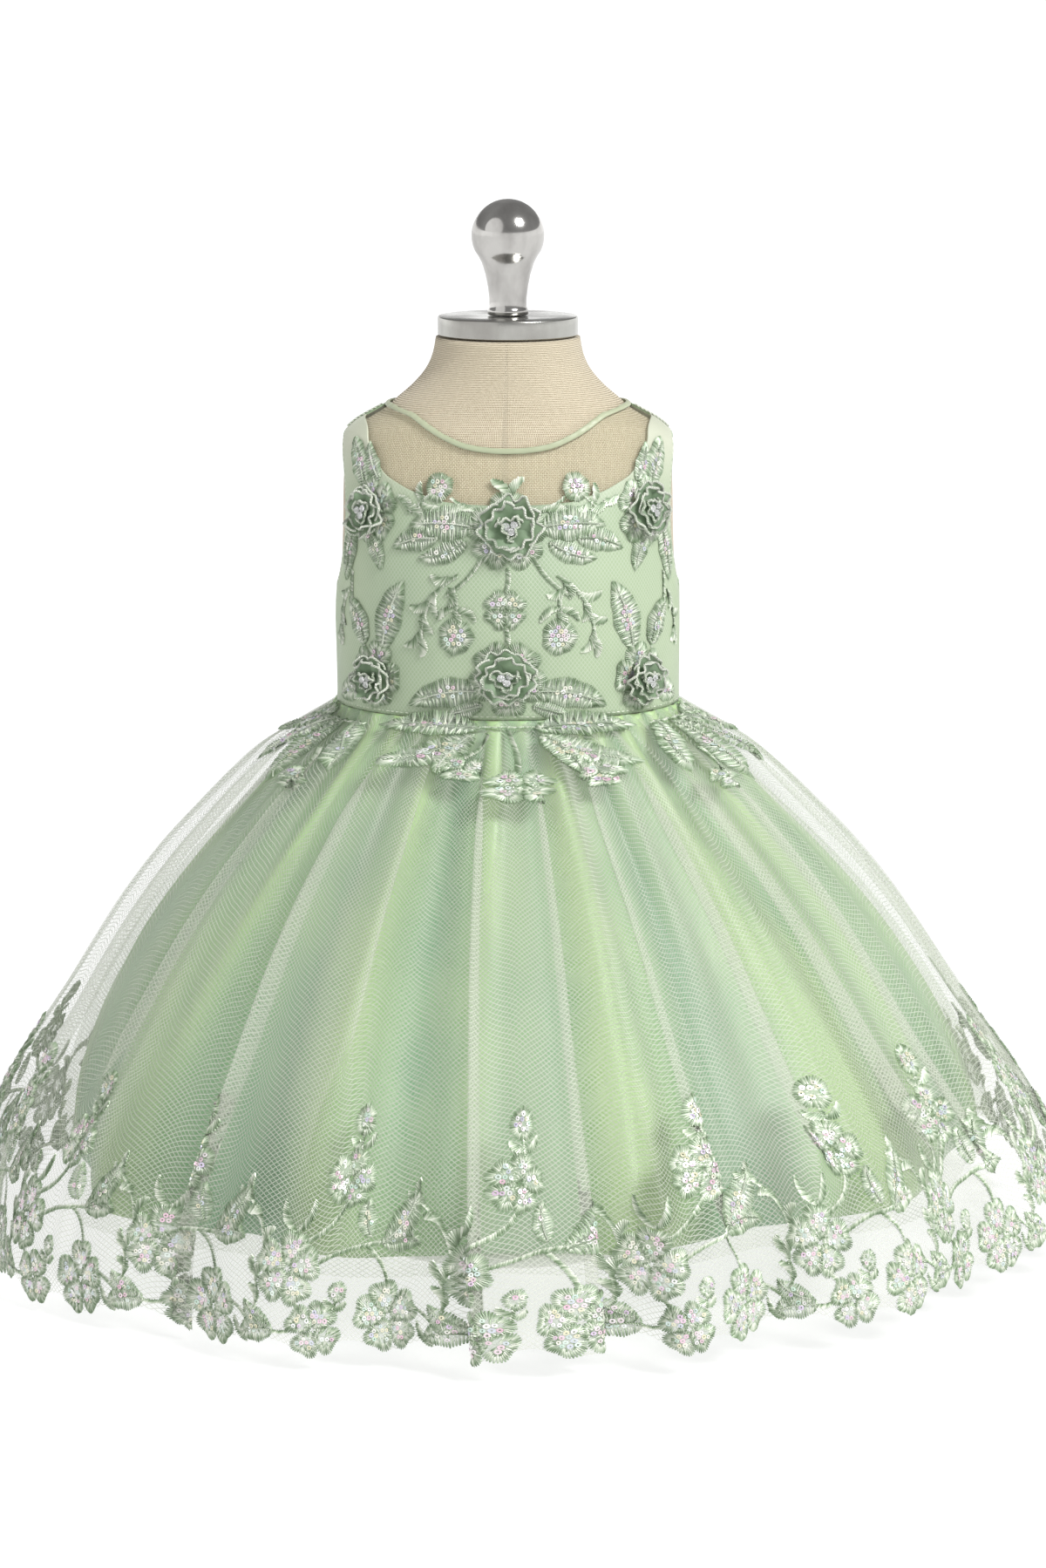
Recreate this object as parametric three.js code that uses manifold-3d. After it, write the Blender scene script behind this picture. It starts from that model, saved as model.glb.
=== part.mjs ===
// A baby's sleeveless pageant dress on a limbless dress form. Millimetres, +Z up.
// The dress faces -Y and +X is on the viewer's right. The origin is on the surface that the
// form stands on, at the centre of its base plate. Angles run from the front centre towards +X.
import * as THREE from "three";
import { mergeVertices } from "three/addons/utils/BufferGeometryUtils.js";
import Module from "manifold-3d";

const wasm = await Module();
wasm.setup();

// Driving dimensions
const SEAM_GAP = 0.3;
const SKIN_GAP = 0.7; // from the form to the cloth
const LACE_GAP = 0.85; // from the cloth to the lace on it, measured at their points
const SATIN_WALL = 1.2;
const NET_WALL = 1.0;
const LACE_WALL = 1.2;
const WAIST_Z = 288;
const ARC_PER_DEGREE = 1.45; // millimetres round the chest for one degree
const SIDE = 90 * ARC_PER_DEGREE; // arc from the front centre to the side seam
const CAP = { z: 478.5, radius: 36.4, height: 10 };
const KNOB_TOP_Z = 549;
const BASE = { radius: 80, height: 8 };
const POLE_RADIUS = 11;
const HEM_LACE = { repeats: 20, period: 100, height: 125 };
const HEM_CLEAR = 9; // the lace's lowest points above the surface, at the front
const HEM_TILT = 7; // how much higher the hem hangs on the right, and lower on the left
const NET_EDGE_RISE = 6; // the net's straight edge above the lowest lace
const SATIN_HEM_Z = 49;
const PLAIN_NET_HEM_Z = 41;
const SKIRT_SHIFT = 9; // the hem hangs this far towards +X

const STYLE = {
  satin: { color: 0xb4dcab, roughness: 0.42, metalness: 0 },
  net: { color: 0xd3e6cc, roughness: 0.8, metalness: 0 },
  lace: { color: 0xa3b59a, roughness: 0.7, metalness: 0 },
  ribbon: { color: 0x6f9a72, roughness: 0.5, metalness: 0 },
  linen: { color: 0xd9c9a8, roughness: 0.9, metalness: 0 },
  chrome: { color: 0xb8b8ba, roughness: 0.12, metalness: 1 },
  enamel: { color: 0xf2f2f0, roughness: 0.4, metalness: 0 },
};

// The dress form's skin: half width, and reach to the front and to the back, at each height
const BODY = [
  { z: 170, half: 84, front: 66, back: 62 },
  { z: 200, half: 89, front: 70, back: 66 },
  { z: 240, half: 91, front: 72, back: 68 },
  { z: 264, half: 89.5, front: 71, back: 65 },
  { z: 288, half: 88, front: 70, back: 62 },
  { z: 312, half: 88, front: 70, back: 61.5 },
  { z: 335, half: 88, front: 70, back: 61.5 },
  { z: 360, half: 87.6, front: 68.5, back: 61 },
  { z: 380, half: 87, front: 65, back: 60 },
  { z: 397, half: 86.7, front: 60, back: 58 },
  { z: 409, half: 86.3, front: 53.5, back: 55 },
  { z: 420, half: 85.8, front: 47, back: 51.5 },
  { z: 426, half: 84.5, front: 45, back: 49.5 },
  { z: 430, half: 81.8, front: 43.8, back: 48 },
  { z: 434, half: 77, front: 42.8, back: 46.6 },
  { z: 438, half: 70, front: 41.6, back: 45 },
  { z: 442, half: 63, front: 40.6, back: 43.6 },
  { z: 447, half: 57, front: 39.6, back: 42 },
  { z: 453, half: 50, front: 38.8, back: 40.4 },
  { z: 461, half: 43, front: 38, back: 38.8 },
  { z: 469, half: 39.2, front: 37.5, back: 37.8 },
  { z: 478, half: 37.4, front: 37.2, back: 37.2 },
];

// The skirts' half widths at each height below the waist
const SKIRT = [
  { z: 26, satin: 238, net: 289 },
  { z: 49, satin: 237, net: 284 },
  { z: 70, satin: 235, net: 277 },
  { z: 92, satin: 229, net: 265 },
  { z: 113, satin: 221, net: 251 },
  { z: 135, satin: 210, net: 236 },
  { z: 160, satin: 195, net: 220 },
  { z: 185, satin: 177, net: 203 },
  { z: 210, satin: 156, net: 183 },
  { z: 230, satin: 137, net: 164 },
  { z: 250, satin: 118, net: 144 },
  { z: 264, satin: 105, net: 128 },
  { z: 276, satin: 95, net: 110 },
  { z: 283, satin: 90.5, net: 100 },
  { z: 288, satin: 88, net: 93.6 },
];

// Folds, as ridges (lift above 0) and valleys, in degrees and millimetres at the hem
const SATIN_FOLDS = [
  { at: -157, width: 15, lift: 10 },
  { at: -131, width: 14, lift: -9 },
  { at: -104, width: 14, lift: 10 },
  { at: -80, width: 13, lift: -8 },
  { at: -58, width: 13, lift: 10 },
  { at: -37, width: 11, lift: -11 },
  { at: -20, width: 11, lift: 10 },
  { at: -4, width: 9, lift: -6 },
  { at: 12, width: 11, lift: 9 },
  { at: 30, width: 11, lift: -9 },
  { at: 50, width: 13, lift: 11 },
  { at: 74, width: 13, lift: -8 },
  { at: 99, width: 14, lift: 10 },
  { at: 127, width: 15, lift: -10 },
  { at: 155, width: 14, lift: 9 },
  { at: 179, width: 13, lift: -8 },
];
const NET_FOLDS = [
  { at: -156, width: 13, lift: 9 },
  { at: -129, width: 14, lift: -9 },
  { at: -103, width: 12, lift: 8 },
  { at: -80, width: 11, lift: -9 },
  { at: -59, width: 10, lift: 7 },
  { at: -38, width: 9, lift: -12 },
  { at: -25, width: 7, lift: 7 },
  { at: -13, width: 7, lift: -11 },
  { at: -1, width: 6, lift: 6 },
  { at: 9, width: 6, lift: -11 },
  { at: 16.5, width: 5, lift: 7 },
  { at: 25, width: 6, lift: -12 },
  { at: 38, width: 8, lift: 6 },
  { at: 53, width: 9, lift: -9 },
  { at: 72, width: 11, lift: 8 },
  { at: 95, width: 12, lift: -9 },
  { at: 121, width: 13, lift: 8 },
  { at: 148, width: 14, lift: -9 },
  { at: 176, width: 15, lift: 8 },
];

// A smooth curve through one column of a table whose rows climb in z
function along(table, key, z) {
  const last = table.length - 1;
  let i = 0;
  while (i < last - 1 && table[i + 1].z < z) i += 1;
  const slope = (j) => {
    const a = table[Math.max(j - 1, 0)];
    const b = table[Math.min(j + 1, last)];
    return (b[key] - a[key]) / (b.z - a.z);
  };
  const low = table[i];
  const high = table[i + 1];
  const span = high.z - low.z;
  const t = THREE.MathUtils.clamp((z - low.z) / span, 0, 1);
  const t2 = t * t;
  const t3 = t2 * t;
  return (
    low[key] * (2 * t3 - 3 * t2 + 1) +
    slope(i) * span * (t3 - 2 * t2 + t) +
    high[key] * (3 * t2 - 2 * t3) +
    slope(i + 1) * span * (t3 - t2)
  );
}

// A point on the form's skin
function bodySkin(degrees, z) {
  const angle = THREE.MathUtils.degToRad(degrees);
  const reach = Math.cos(angle) > 0 ? "front" : "back";
  return new THREE.Vector3(
    along(BODY, "half", z) * Math.sin(angle),
    -along(BODY, reach, z) * Math.cos(angle),
    z,
  );
}

// The sum of a layer's folds at one angle, faded out towards the waist
function foldLift(folds, degrees, z) {
  const fall = THREE.MathUtils.clamp((WAIST_Z - z) / (WAIST_Z - SATIN_HEM_Z), 0, 1.1);
  const fade = Math.pow(fall, 1.3);
  let lift = 0;
  for (const fold of folds) {
    const away = ((((degrees - fold.at) % 360) + 540) % 360) - 180;
    if (Math.abs(away) < fold.width) {
      lift += fold.lift * Math.cos((Math.PI * away) / (2 * fold.width)) ** 2;
    }
  }
  return lift * fade;
}

// A point on a skirt layer: key is its column in SKIRT
function skirtSkin(key, folds, degrees, z) {
  const angle = THREE.MathUtils.degToRad(degrees);
  const fall = THREE.MathUtils.clamp((WAIST_Z - z) / WAIST_Z, 0, 1);
  const reach = Math.cos(angle) > 0 ? "front" : "back";
  const waistShape = along(BODY, reach, WAIST_Z) / along(BODY, "half", WAIST_Z);
  const hemShape = 0.94;
  const shape = THREE.MathUtils.lerp(waistShape, hemShape, Math.min(1, fall * 2.5));
  const radius = along(SKIRT, key, z) + foldLift(folds, degrees, z);
  return new THREE.Vector3(
    radius * Math.sin(angle) + SKIRT_SHIFT * fall,
    -radius * shape * Math.cos(angle),
    z,
  );
}

const satinSkin = (degrees, z) => skirtSkin("satin", SATIN_FOLDS, degrees, z);
const netSkin = (degrees, z) => skirtSkin("net", NET_FOLDS, degrees, z);

// The way out from a skin; at the waist a skirt's way out is level
function wayOut(skin, degrees, z) {
  const round = skin(degrees + 0.5, z).sub(skin(degrees - 0.5, z));
  const up = skin(degrees, z + 0.5).sub(skin(degrees, z - 0.5));
  const normal = round.cross(up).normalize();
  if (skin !== bodySkin) {
    normal.z *= THREE.MathUtils.clamp((WAIST_Z - z) / 16, 0, 1);
    normal.normalize();
  }
  return normal;
}

function movedOut(skin, degrees, z, out) {
  return skin(degrees, z).addScaledVector(wayOut(skin, degrees, z), out);
}

const hemTilt = (degrees) => HEM_TILT * Math.sin(THREE.MathUtils.degToRad(degrees));

// Turns vertices and faces into a three.js geometry
function geometryFrom(points, faces) {
  const geometry = new THREE.BufferGeometry();
  const flat = points.flatMap((p) => [p.x, p.y, p.z]);
  geometry.setAttribute("position", new THREE.Float32BufferAttribute(flat, 3));
  geometry.setIndex(faces.flat());
  return geometry;
}

// A closed wall over a grid of cells: place(column, row, side), side 0 inside and 1 outside.
// Columns run towards +X at the front and rows run upwards; has() leaves cells out.
function wall(columns, rows, place, has = () => true) {
  const points = [];
  const width = columns + 1;
  for (const side of [0, 1]) {
    for (let row = 0; row <= rows; row += 1) {
      for (let column = 0; column < width; column += 1) {
        points.push(place(column, row, side));
      }
    }
  }
  const index = (column, row, side) => (side * (rows + 1) + row) * width + column;
  const isCell = (column, row) =>
    column >= 0 && row >= 0 && column < columns && row < rows && has(column, row);
  const faces = [];
  const rim = ([c0, r0], [c1, r1]) => {
    const [a, b] = [index(c0, r0, 0), index(c1, r1, 0)];
    const [c, d] = [index(c1, r1, 1), index(c0, r0, 1)];
    faces.push([a, b, c], [a, c, d]);
  };
  for (let column = 0; column < columns; column += 1) {
    for (let row = 0; row < rows; row += 1) {
      if (!isCell(column, row)) continue;
      const corners = [
        [column, row],
        [column + 1, row],
        [column + 1, row + 1],
        [column, row + 1],
      ];
      const [a, b, c, d] = corners.map(([x, y]) => index(x, y, 1));
      const [e, f, g, h] = corners.map(([x, y]) => index(x, y, 0));
      faces.push([a, b, c], [a, c, d], [e, g, f], [e, h, g]);
      const neighbours = [
        [column, row - 1],
        [column + 1, row],
        [column, row + 1],
        [column - 1, row],
      ];
      neighbours.forEach(([x, y], k) => {
        if (!isCell(x, y)) rim(corners[k], corners[(k + 1) % 4]);
      });
    }
  }
  return geometryFrom(points, faces);
}

// A solid of one flat outline, one millimetre high
function flatSolid(outline) {
  const shape = new THREE.Shape(outline.map(([s, t]) => new THREE.Vector2(s, t)));
  const block = new THREE.ExtrudeGeometry(shape, { depth: 1, bevelEnabled: false });
  block.deleteAttribute("normal");
  block.deleteAttribute("uv");
  const merged = mergeVertices(block, 1e-4);
  return new wasm.Manifold(
    new wasm.Mesh({
      numProp: 3,
      vertProperties: merged.attributes.position.array,
      triVerts: new Uint32Array(merged.index.array),
    }),
  );
}

const joined = (outlines) => outlines.map(flatSolid).reduce((sum, next) => sum.add(next));

// Splits faces where they cross a line of the flat plane: over(point) is 0 on the line
function cutAlong(flat, faces, over) {
  const crossings = new Map();
  const near = 0.05;
  const crossing = (a, b) => {
    const key = a < b ? `${a}_${b}` : `${b}_${a}`;
    if (!crossings.has(key)) {
      const share = over(flat[a]) / (over(flat[a]) - over(flat[b]));
      flat.push(flat[a].map((value, k) => value + (flat[b][k] - value) * share));
      crossings.set(key, flat.length - 1);
    }
    return crossings.get(key);
  };
  const next = [];
  for (const face of faces) {
    const sides = face.map((i) => {
      const value = over(flat[i]);
      return Math.abs(value) < near ? 0 : Math.sign(value);
    });
    if (!sides.includes(1) || !sides.includes(-1)) {
      next.push(face);
      continue;
    }
    if (sides.includes(0)) {
      const turn = sides.indexOf(0);
      const [a, b, c] = [0, 1, 2].map((k) => face[(k + turn) % 3]);
      const bc = crossing(b, c);
      next.push([a, b, bc], [a, bc, c]);
      continue;
    }
    const isLone = (side, k) => side !== sides[(k + 1) % 3] && side !== sides[(k + 2) % 3];
    const lone = sides.findIndex(isLone);
    const [a, b, c] = [0, 1, 2].map((k) => face[(k + lone) % 3]);
    const [ab, ca] = [crossing(a, b), crossing(c, a)];
    next.push([a, ab, ca], [ab, b, c], [ab, c, ca]);
  }
  return next;
}

// A face split at the points that its neighbour across a cut has on their shared edge
function withCutPoints(flat, face, cuts) {
  for (let k = 0; k < 3; k += 1) {
    const [a, b, c] = [0, 1, 2].map((i) => face[(i + k) % 3]);
    const [from, to] = [flat[a], flat[b]];
    const isOnCut = cuts.some((s) => Math.abs(from[0] - s) + Math.abs(to[0] - s) < 2e-3);
    if (!isOnCut || Math.abs(from[2] - to[2]) > 0.5) continue;
    const [low, high] = [Math.min(from[1], to[1]) + 0.01, Math.max(from[1], to[1]) - 0.01];
    const middle = flat.findIndex(
      (point, i) =>
        i !== a &&
        i !== b &&
        Math.abs(point[0] - from[0]) < 2e-3 &&
        Math.abs(point[2] - from[2]) < 0.5 &&
        point[1] > low &&
        point[1] < high,
    );
    if (middle >= 0) {
      const halves = [[a, middle, c], [middle, b, c]];
      return halves.flatMap((half) => withCutPoints(flat, half, cuts));
    }
  }
  return [face];
}

// Wraps a flat solid round a surface: place(s, t, side) gives the point. It is cut into
// strips at the columns and then along the rows, so that it bends there.
function wrapped(solid, place, columns, rows) {
  const bounds = solid.boundingBox();
  const inside = columns.filter((s) => s > bounds.min[0] + 0.2 && s < bounds.max[0] - 0.2);
  const edges = [bounds.min[0] - 1, ...inside.sort((a, b) => a - b), bounds.max[0] + 1];
  const flat = [];
  const known = new Map();
  const steps = [0, -1, 1];
  const indexOf = (point) => {
    const [x, y, z] = point.map((value) => Math.round(value * 200));
    for (const dx of steps) {
      for (const dy of steps) {
        const key = `${x + dx} ${y + dy} ${z}`;
        if (known.has(key)) return known.get(key);
      }
    }
    known.set(`${x} ${y} ${z}`, flat.push(point) - 1);
    return flat.length - 1;
  };
  let faces = [];
  for (let i = 0; i < edges.length - 1; i += 1) {
    const [from, to] = [edges[i], edges[i + 1]];
    const strip = [
      [from, bounds.min[1] - 1],
      [to, bounds.min[1] - 1],
      [to, bounds.max[1] + 1],
      [from, bounds.max[1] + 1],
    ];
    const mesh = solid.intersect(flatSolid(strip)).getMesh();
    const isCutFace = (corners) =>
      inside.some((s) => corners.every((point) => Math.abs(point[0] - s) < 1e-3));
    for (let k = 0; k < mesh.triVerts.length; k += 3) {
      const corners = [0, 1, 2].map((c) => {
        const at = mesh.triVerts[k + c] * mesh.numProp;
        return [...mesh.vertProperties.subarray(at, at + 3)];
      });
      const face = corners.map(indexOf);
      if (!isCutFace(corners) && new Set(face).size === 3) faces.push(face);
    }
  }
  faces = faces.flatMap((face) => withCutPoints(flat, face, inside));
  for (const t of rows) {
    faces = cutAlong(flat, faces, (point) => point[1] - t);
  }
  return geometryFrom(
    flat.map(([s, t, side]) => place(s, t, side)),
    faces,
  );
}

// Motif outlines in flat millimetres. at is the middle, turn is in degrees from upright.
const spun = ([s, t], [x, y], turn) => {
  const a = THREE.MathUtils.degToRad(turn);
  return [s + x * Math.cos(a) + y * Math.sin(a), t - x * Math.sin(a) + y * Math.cos(a)];
};

function flower(at, petals, radius, turn = 0) {
  const outline = [];
  const step = 360 / petals;
  const lobe = petals > 4 ? [[0, 1.06], [0.5, 0.74]] : [[-0.19, 1], [0.19, 1]];
  for (let i = 0; i < petals; i += 1) {
    for (const [share, reach] of lobe) {
      const a = THREE.MathUtils.degToRad(-(i + share) * step);
      const local = [-radius * reach * Math.sin(a), radius * reach * Math.cos(a)];
      outline.push(spun(at, local, turn));
    }
  }
  return outline.reverse();
}

function bud(at, radius, turn = 0) {
  return [0, 72, 144, 216, 288].map((degrees) => {
    const a = THREE.MathUtils.degToRad(degrees);
    return spun(at, [radius * Math.cos(a), radius * Math.sin(a)], turn);
  });
}

// A pointed leaf from its base to its tip
function leaf([s0, t0], [s1, t1], width) {
  const side = [-(t1 - t0), s1 - s0].map((v) => (v * width) / (2 * Math.hypot(s1 - s0, t1 - t0)));
  const point = (share, swell) => [
    s0 + (s1 - s0) * share + side[0] * swell,
    t0 + (t1 - t0) * share + side[1] * swell,
  ];
  return [point(0, 0), point(0.45, -1), point(1, 0), point(0.45, 1)];
}

// A stem between two points
function stem([s0, t0], [s1, t1], width = 2.4) {
  const side = [-(t1 - t0), s1 - s0].map((v) => (v * width) / (2 * Math.hypot(s1 - s0, t1 - t0)));
  return [
    [s0 - side[0], t0 - side[1]],
    [s1 - side[0], t1 - side[1]],
    [s1 + side[0], t1 + side[1]],
    [s0 + side[0], t0 + side[1]],
  ];
}

const mirrored = (outline) => outline.map(([s, t]) => [-s, t]).reverse();

// Places on the bodice, on the net below the waist, and on the lace band
function onBody(base, thickness) {
  return (s, z, side) => movedOut(bodySkin, s / ARC_PER_DEGREE, z, base + thickness * side);
}

const WAIST_LACE_GAP = 0.9;
const WAIST_FALL = 0.62; // height lost for each millimetre down the net near the waist
function onWaist(s, t, side) {
  const out = NET_WALL + WAIST_LACE_GAP + LACE_WALL * side;
  return movedOut(netSkin, s / ARC_PER_DEGREE, WAIST_Z - 1 + t * WAIST_FALL, out);
}

// The dress form: torso, neck cap, knob, pole and base plate
const TORSO_INSET = 0.9; // its flat faces stay under the cloth on the shoulders
function formTorso() {
  const segments = 24;
  const rings = BODY.map((row) => row.z).filter((z) => ![200, 264, 312, 335].includes(z));
  const points = rings.flatMap((z) =>
    Array.from({ length: segments }, (_, i) => {
      const inset = z > 350 && z < 441 ? TORSO_INSET : 0;
      return movedOut(bodySkin, (i * 360) / segments, z, -inset);
    }),
  );
  const faces = [];
  const last = rings.length - 1;
  const at = (ring, i) => ring * segments + (i % segments);
  for (let ring = 0; ring < last; ring += 1) {
    for (let i = 0; i < segments; i += 1) {
      faces.push([at(ring, i), at(ring, i + 1), at(ring + 1, i + 1)]);
      faces.push([at(ring, i), at(ring + 1, i + 1), at(ring + 1, i)]);
    }
  }
  const bottom = points.push(new THREE.Vector3(0, 0, rings[0])) - 1;
  const top = points.push(new THREE.Vector3(0, 0, rings[last])) - 1;
  for (let i = 0; i < segments; i += 1) {
    faces.push([bottom, at(0, i + 1), at(0, i)], [top, at(last, i), at(last, i + 1)]);
  }
  return geometryFrom(points, faces);
}

function turned(profile, segments) {
  const outline = profile.map(([radius, z]) => new THREE.Vector2(radius, z));
  const geometry = new THREE.LatheGeometry(outline, segments);
  return geometry.rotateX(Math.PI / 2);
}

const capBottom = CAP.z + SEAM_GAP;
const capTop = capBottom + CAP.height;
const knobFoot = capTop + SEAM_GAP;

// The knob's outline from its foot to its top: a flared stem under a ball
function formKnob() {
  const ballRadius = 18.9;
  const ballZ = KNOB_TOP_Z - ballRadius;
  const profile = [
    [0, knobFoot],
    [10.6, knobFoot],
    [10.6, knobFoot + 3],
    [9.7, knobFoot + 4],
    [10.4, knobFoot + 12],
    [13.2, ballZ - 13],
  ];
  for (const degrees of [-28, -5, 18, 40, 62]) {
    const a = THREE.MathUtils.degToRad(degrees);
    profile.push([ballRadius * Math.cos(a), ballZ + ballRadius * Math.sin(a)]);
  }
  profile.push([0, KNOB_TOP_Z]);
  return turned(profile, 16);
}

const disc = (radius, low, high, segments) =>
  turned([[0, low], [radius, low], [radius, high], [0, high]], segments);

// The bodice's edges, as points of arc and height on one half
const PANEL_LOW = WAIST_Z + SEAM_GAP;
const PANEL_SIDE = SIDE - SEAM_GAP / 2;
const SCOOP = [
  [0, 396.6],
  [31, 398],
  [47, 402],
  [57, 405.7],
  [68, 411],
  [77, 420],
  [88, 430],
  [104, 434.4],
  [PANEL_SIDE, 436.4],
];
const NECKLINE = [
  [0, 421],
  [20, 423],
  [37, 429],
  [50, 434],
  [64, 437.6],
  [76, 439.2],
  [90, 440.3],
  [108, 441.2],
  [PANEL_SIDE, 441.6],
];
const BACK_EDGE = 2 * SIDE - 0.4;
const BACK_NECK = [
  [SIDE + SEAM_GAP / 2, 441.6],
  [147, 441.6],
  [164, 441.1],
  [180, 440],
  [197, 437.4],
  [213, 434.6],
  [229, 432],
  [245, 430.4],
  [BACK_EDGE, 430],
];
// Where the front's side edge and its armhole pass each row of cells, from the waist up
const FRONT_SIDE = [
  [PANEL_SIDE, PANEL_LOW],
  [PANEL_SIDE, 318],
  [PANEL_SIDE, 346],
  [120, 349.5],
  [111, 360],
  [105.5, 374],
  [104, 388],
];
// The armhole's outer points beside each point of the scoop, up to the shoulder
const FRONT_STRAP = [
  [104, 388],
  [104.4, 394],
  [105.6, 400],
  [107.4, 406],
  [110, 412.5],
  [113.6, 419],
  [119, 425.4],
  [PANEL_SIDE, 429.4],
];
const BACK_SIDE = [
  [SIDE + SEAM_GAP / 2, PANEL_LOW],
  [SIDE + SEAM_GAP / 2, 318],
  [SIDE + SEAM_GAP / 2, 346],
  [141, 349.5],
  [150, 360],
  [155.5, 374],
  [157, 389],
  [154.6, 403],
  [147, 420],
  [SIDE + SEAM_GAP / 2, 429.4],
  [SIDE + SEAM_GAP / 2, 441.6],
];
const FRONT_MIDDLE = [PANEL_LOW, 316, 340, 356, 370, 384, SCOOP[0][1]];
const BACK_MIDDLE = [PANEL_LOW, 318, 345, 360, 373, 386, 398, 409, 416, 423, 430];
const PANEL_SHARES = [0, 0.15, 0.3, 0.45, 0.6, 0.74, 0.87, 1];

const between = ([s0, z0], [s1, z1], share) => [s0 + (s1 - s0) * share, z0 + (z1 - z0) * share];

// The front panel is one grid: full rows below the scoop, then two columns of straps
function bodiceFront() {
  const half = PANEL_SHARES.length - 1;
  const low = FRONT_SIDE.length - 1;
  const rows = low + FRONT_STRAP.length - 1;
  const scoopShare = 2;
  const place = onBody(SKIN_GAP, SATIN_WALL);
  return wall(
    2 * half,
    rows,
    (column, row, side) => {
      const k = Math.abs(column - half);
      const sign = Math.sign(column - half);
      if (row <= low) {
        const share = PANEL_SHARES[k];
        const [edgeS, edgeZ] = FRONT_SIDE[row];
        const middle = FRONT_MIDDLE[row];
        return place(sign * edgeS * share, middle + (edgeZ - middle) * share ** 2.4, side);
      }
      const inner = SCOOP[row - low + 1];
      const outer = FRONT_STRAP[row - low];
      const share = Math.max(0, (k - scoopShare) / (half - scoopShare));
      const [s, z] = between(inner, outer, share);
      return place(sign * s, z, side);
    },
    (column, row) => row < low || Math.abs(column + 0.5 - half) > scoopShare,
  );
}

function yokeFront() {
  const half = SCOOP.length - 1;
  const rows = 2;
  const place = onBody(SKIN_GAP, NET_WALL);
  return wall(2 * half, rows, (column, row, side) => {
    const k = Math.abs(column - half);
    const low = [SCOOP[k][0], SCOOP[k][1] + SEAM_GAP];
    const [s, z] = between(low, NECKLINE[k], row / rows);
    return place(Math.sign(column - half) * s, z, side);
  });
}

// One back panel, from the side seam (or the shoulder) to the closure; sign is its side
function bodiceBack(sign) {
  const last = BACK_NECK.length - 1;
  const rows = BACK_SIDE.length - 1;
  const place = onBody(SKIN_GAP, SATIN_WALL);
  return wall(last, rows, (column, row, side) => {
    const k = sign > 0 ? column : last - column;
    const share = (BACK_NECK[k][0] - BACK_NECK[0][0]) / (BACK_EDGE - BACK_NECK[0][0]);
    const middle = [BACK_EDGE, BACK_MIDDLE[row]];
    const [s, z] = row === rows ? BACK_NECK[k] : between(BACK_SIDE[row], middle, share);
    return place(sign * s, z, side);
  });
}

// The height on the skin that lies a given distance above z, along the skin
function climbed(degrees, z, distance) {
  let height = z;
  let left = distance;
  const step = 0.1;
  while (left > 0) {
    left -= bodySkin(degrees, height + step).distanceTo(bodySkin(degrees, height));
    height += step;
  }
  return height;
}

// A narrow binding round the whole neckline, open at the back centre
function neckBinding() {
  const edge = [...NECKLINE, ...BACK_NECK.slice(1)];
  const path = [...edge.slice(1).map(([s, z]) => [-s, z]).reverse(), ...edge];
  const width = 3;
  const base = SKIN_GAP - 0.2;
  const thickness = SATIN_WALL + 0.6;
  return wall(path.length - 1, 1, (column, row, side) => {
    const [s, z] = path[column];
    const degrees = s / ARC_PER_DEGREE;
    const low = climbed(degrees, z, SEAM_GAP);
    const height = row === 0 ? low : climbed(degrees, low, width);
    return movedOut(bodySkin, degrees, height, base + thickness * side);
  });
}

// The angles of a layer's columns between two side seams, at shares of each fold's width
const WIDE_FOLD = 8;
function columnAngles(folds, shares, from, to) {
  const inset = 0.04;
  const angles = [from + inset, to - inset];
  for (const fold of folds) {
    for (const share of fold.width < WIDE_FOLD ? [0, 0.95] : shares) {
      for (const turn of [0, 360]) {
        const angle = fold.at + turn + fold.width * share;
        if (angle > from + 2 && angle < to - 2) angles.push(angle);
      }
    }
  }
  return angles.sort((a, b) => a - b);
}
const SATIN_SHARES = [-0.5, 0.5];
const NET_SHARES = [-0.5, 0, 0.5];

// Rows of cells from the hem up; tilt is how much of the hem's slant a row takes
const SATIN_ROWS = [
  { z: SATIN_HEM_Z, tilt: 1 },
  { z: 108, tilt: 0.8 },
  { z: 168, tilt: 0.4 },
  { z: 222, tilt: 0 },
  { z: 264, tilt: 0 },
  { z: WAIST_Z, tilt: 0 },
];
const PLAIN_NET_ROWS = [{ z: PLAIN_NET_HEM_Z, tilt: 1 }, ...SATIN_ROWS.slice(1)];
const LACE_NET_ROWS = [
  { z: HEM_CLEAR + NET_EDGE_RISE, tilt: 1 },
  { z: 75, tilt: 1 },
  { z: 131, tilt: 1 },
  { z: 170, tilt: 0.7 },
  { z: 208, tilt: 0.3 },
  { z: 240, tilt: 0 },
  { z: 263, tilt: 0 },
  { z: 279, tilt: 0 },
  { z: WAIST_Z, tilt: 0 },
];

const SKIRT_LAYERS = [
  {
    name: "skirt_satin",
    skin: satinSkin,
    folds: SATIN_FOLDS,
    shares: SATIN_SHARES,
    rows: SATIN_ROWS,
    base: SKIN_GAP,
    thickness: SATIN_WALL,
    spread: 0,
    style: "satin",
  },
  {
    name: "skirt_plain_net",
    skin: satinSkin,
    folds: SATIN_FOLDS,
    shares: SATIN_SHARES,
    rows: PLAIN_NET_ROWS,
    base: SKIN_GAP + SATIN_WALL + SEAM_GAP,
    thickness: NET_WALL,
    spread: 7,
    style: "net",
  },
  {
    name: "skirt_lace_net",
    skin: netSkin,
    folds: NET_FOLDS,
    shares: NET_SHARES,
    rows: LACE_NET_ROWS,
    base: 0,
    thickness: NET_WALL,
    spread: 0,
    style: "net",
  },
];

const rowZ = (row, degrees) => row.z + row.tilt * hemTilt(degrees);

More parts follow.
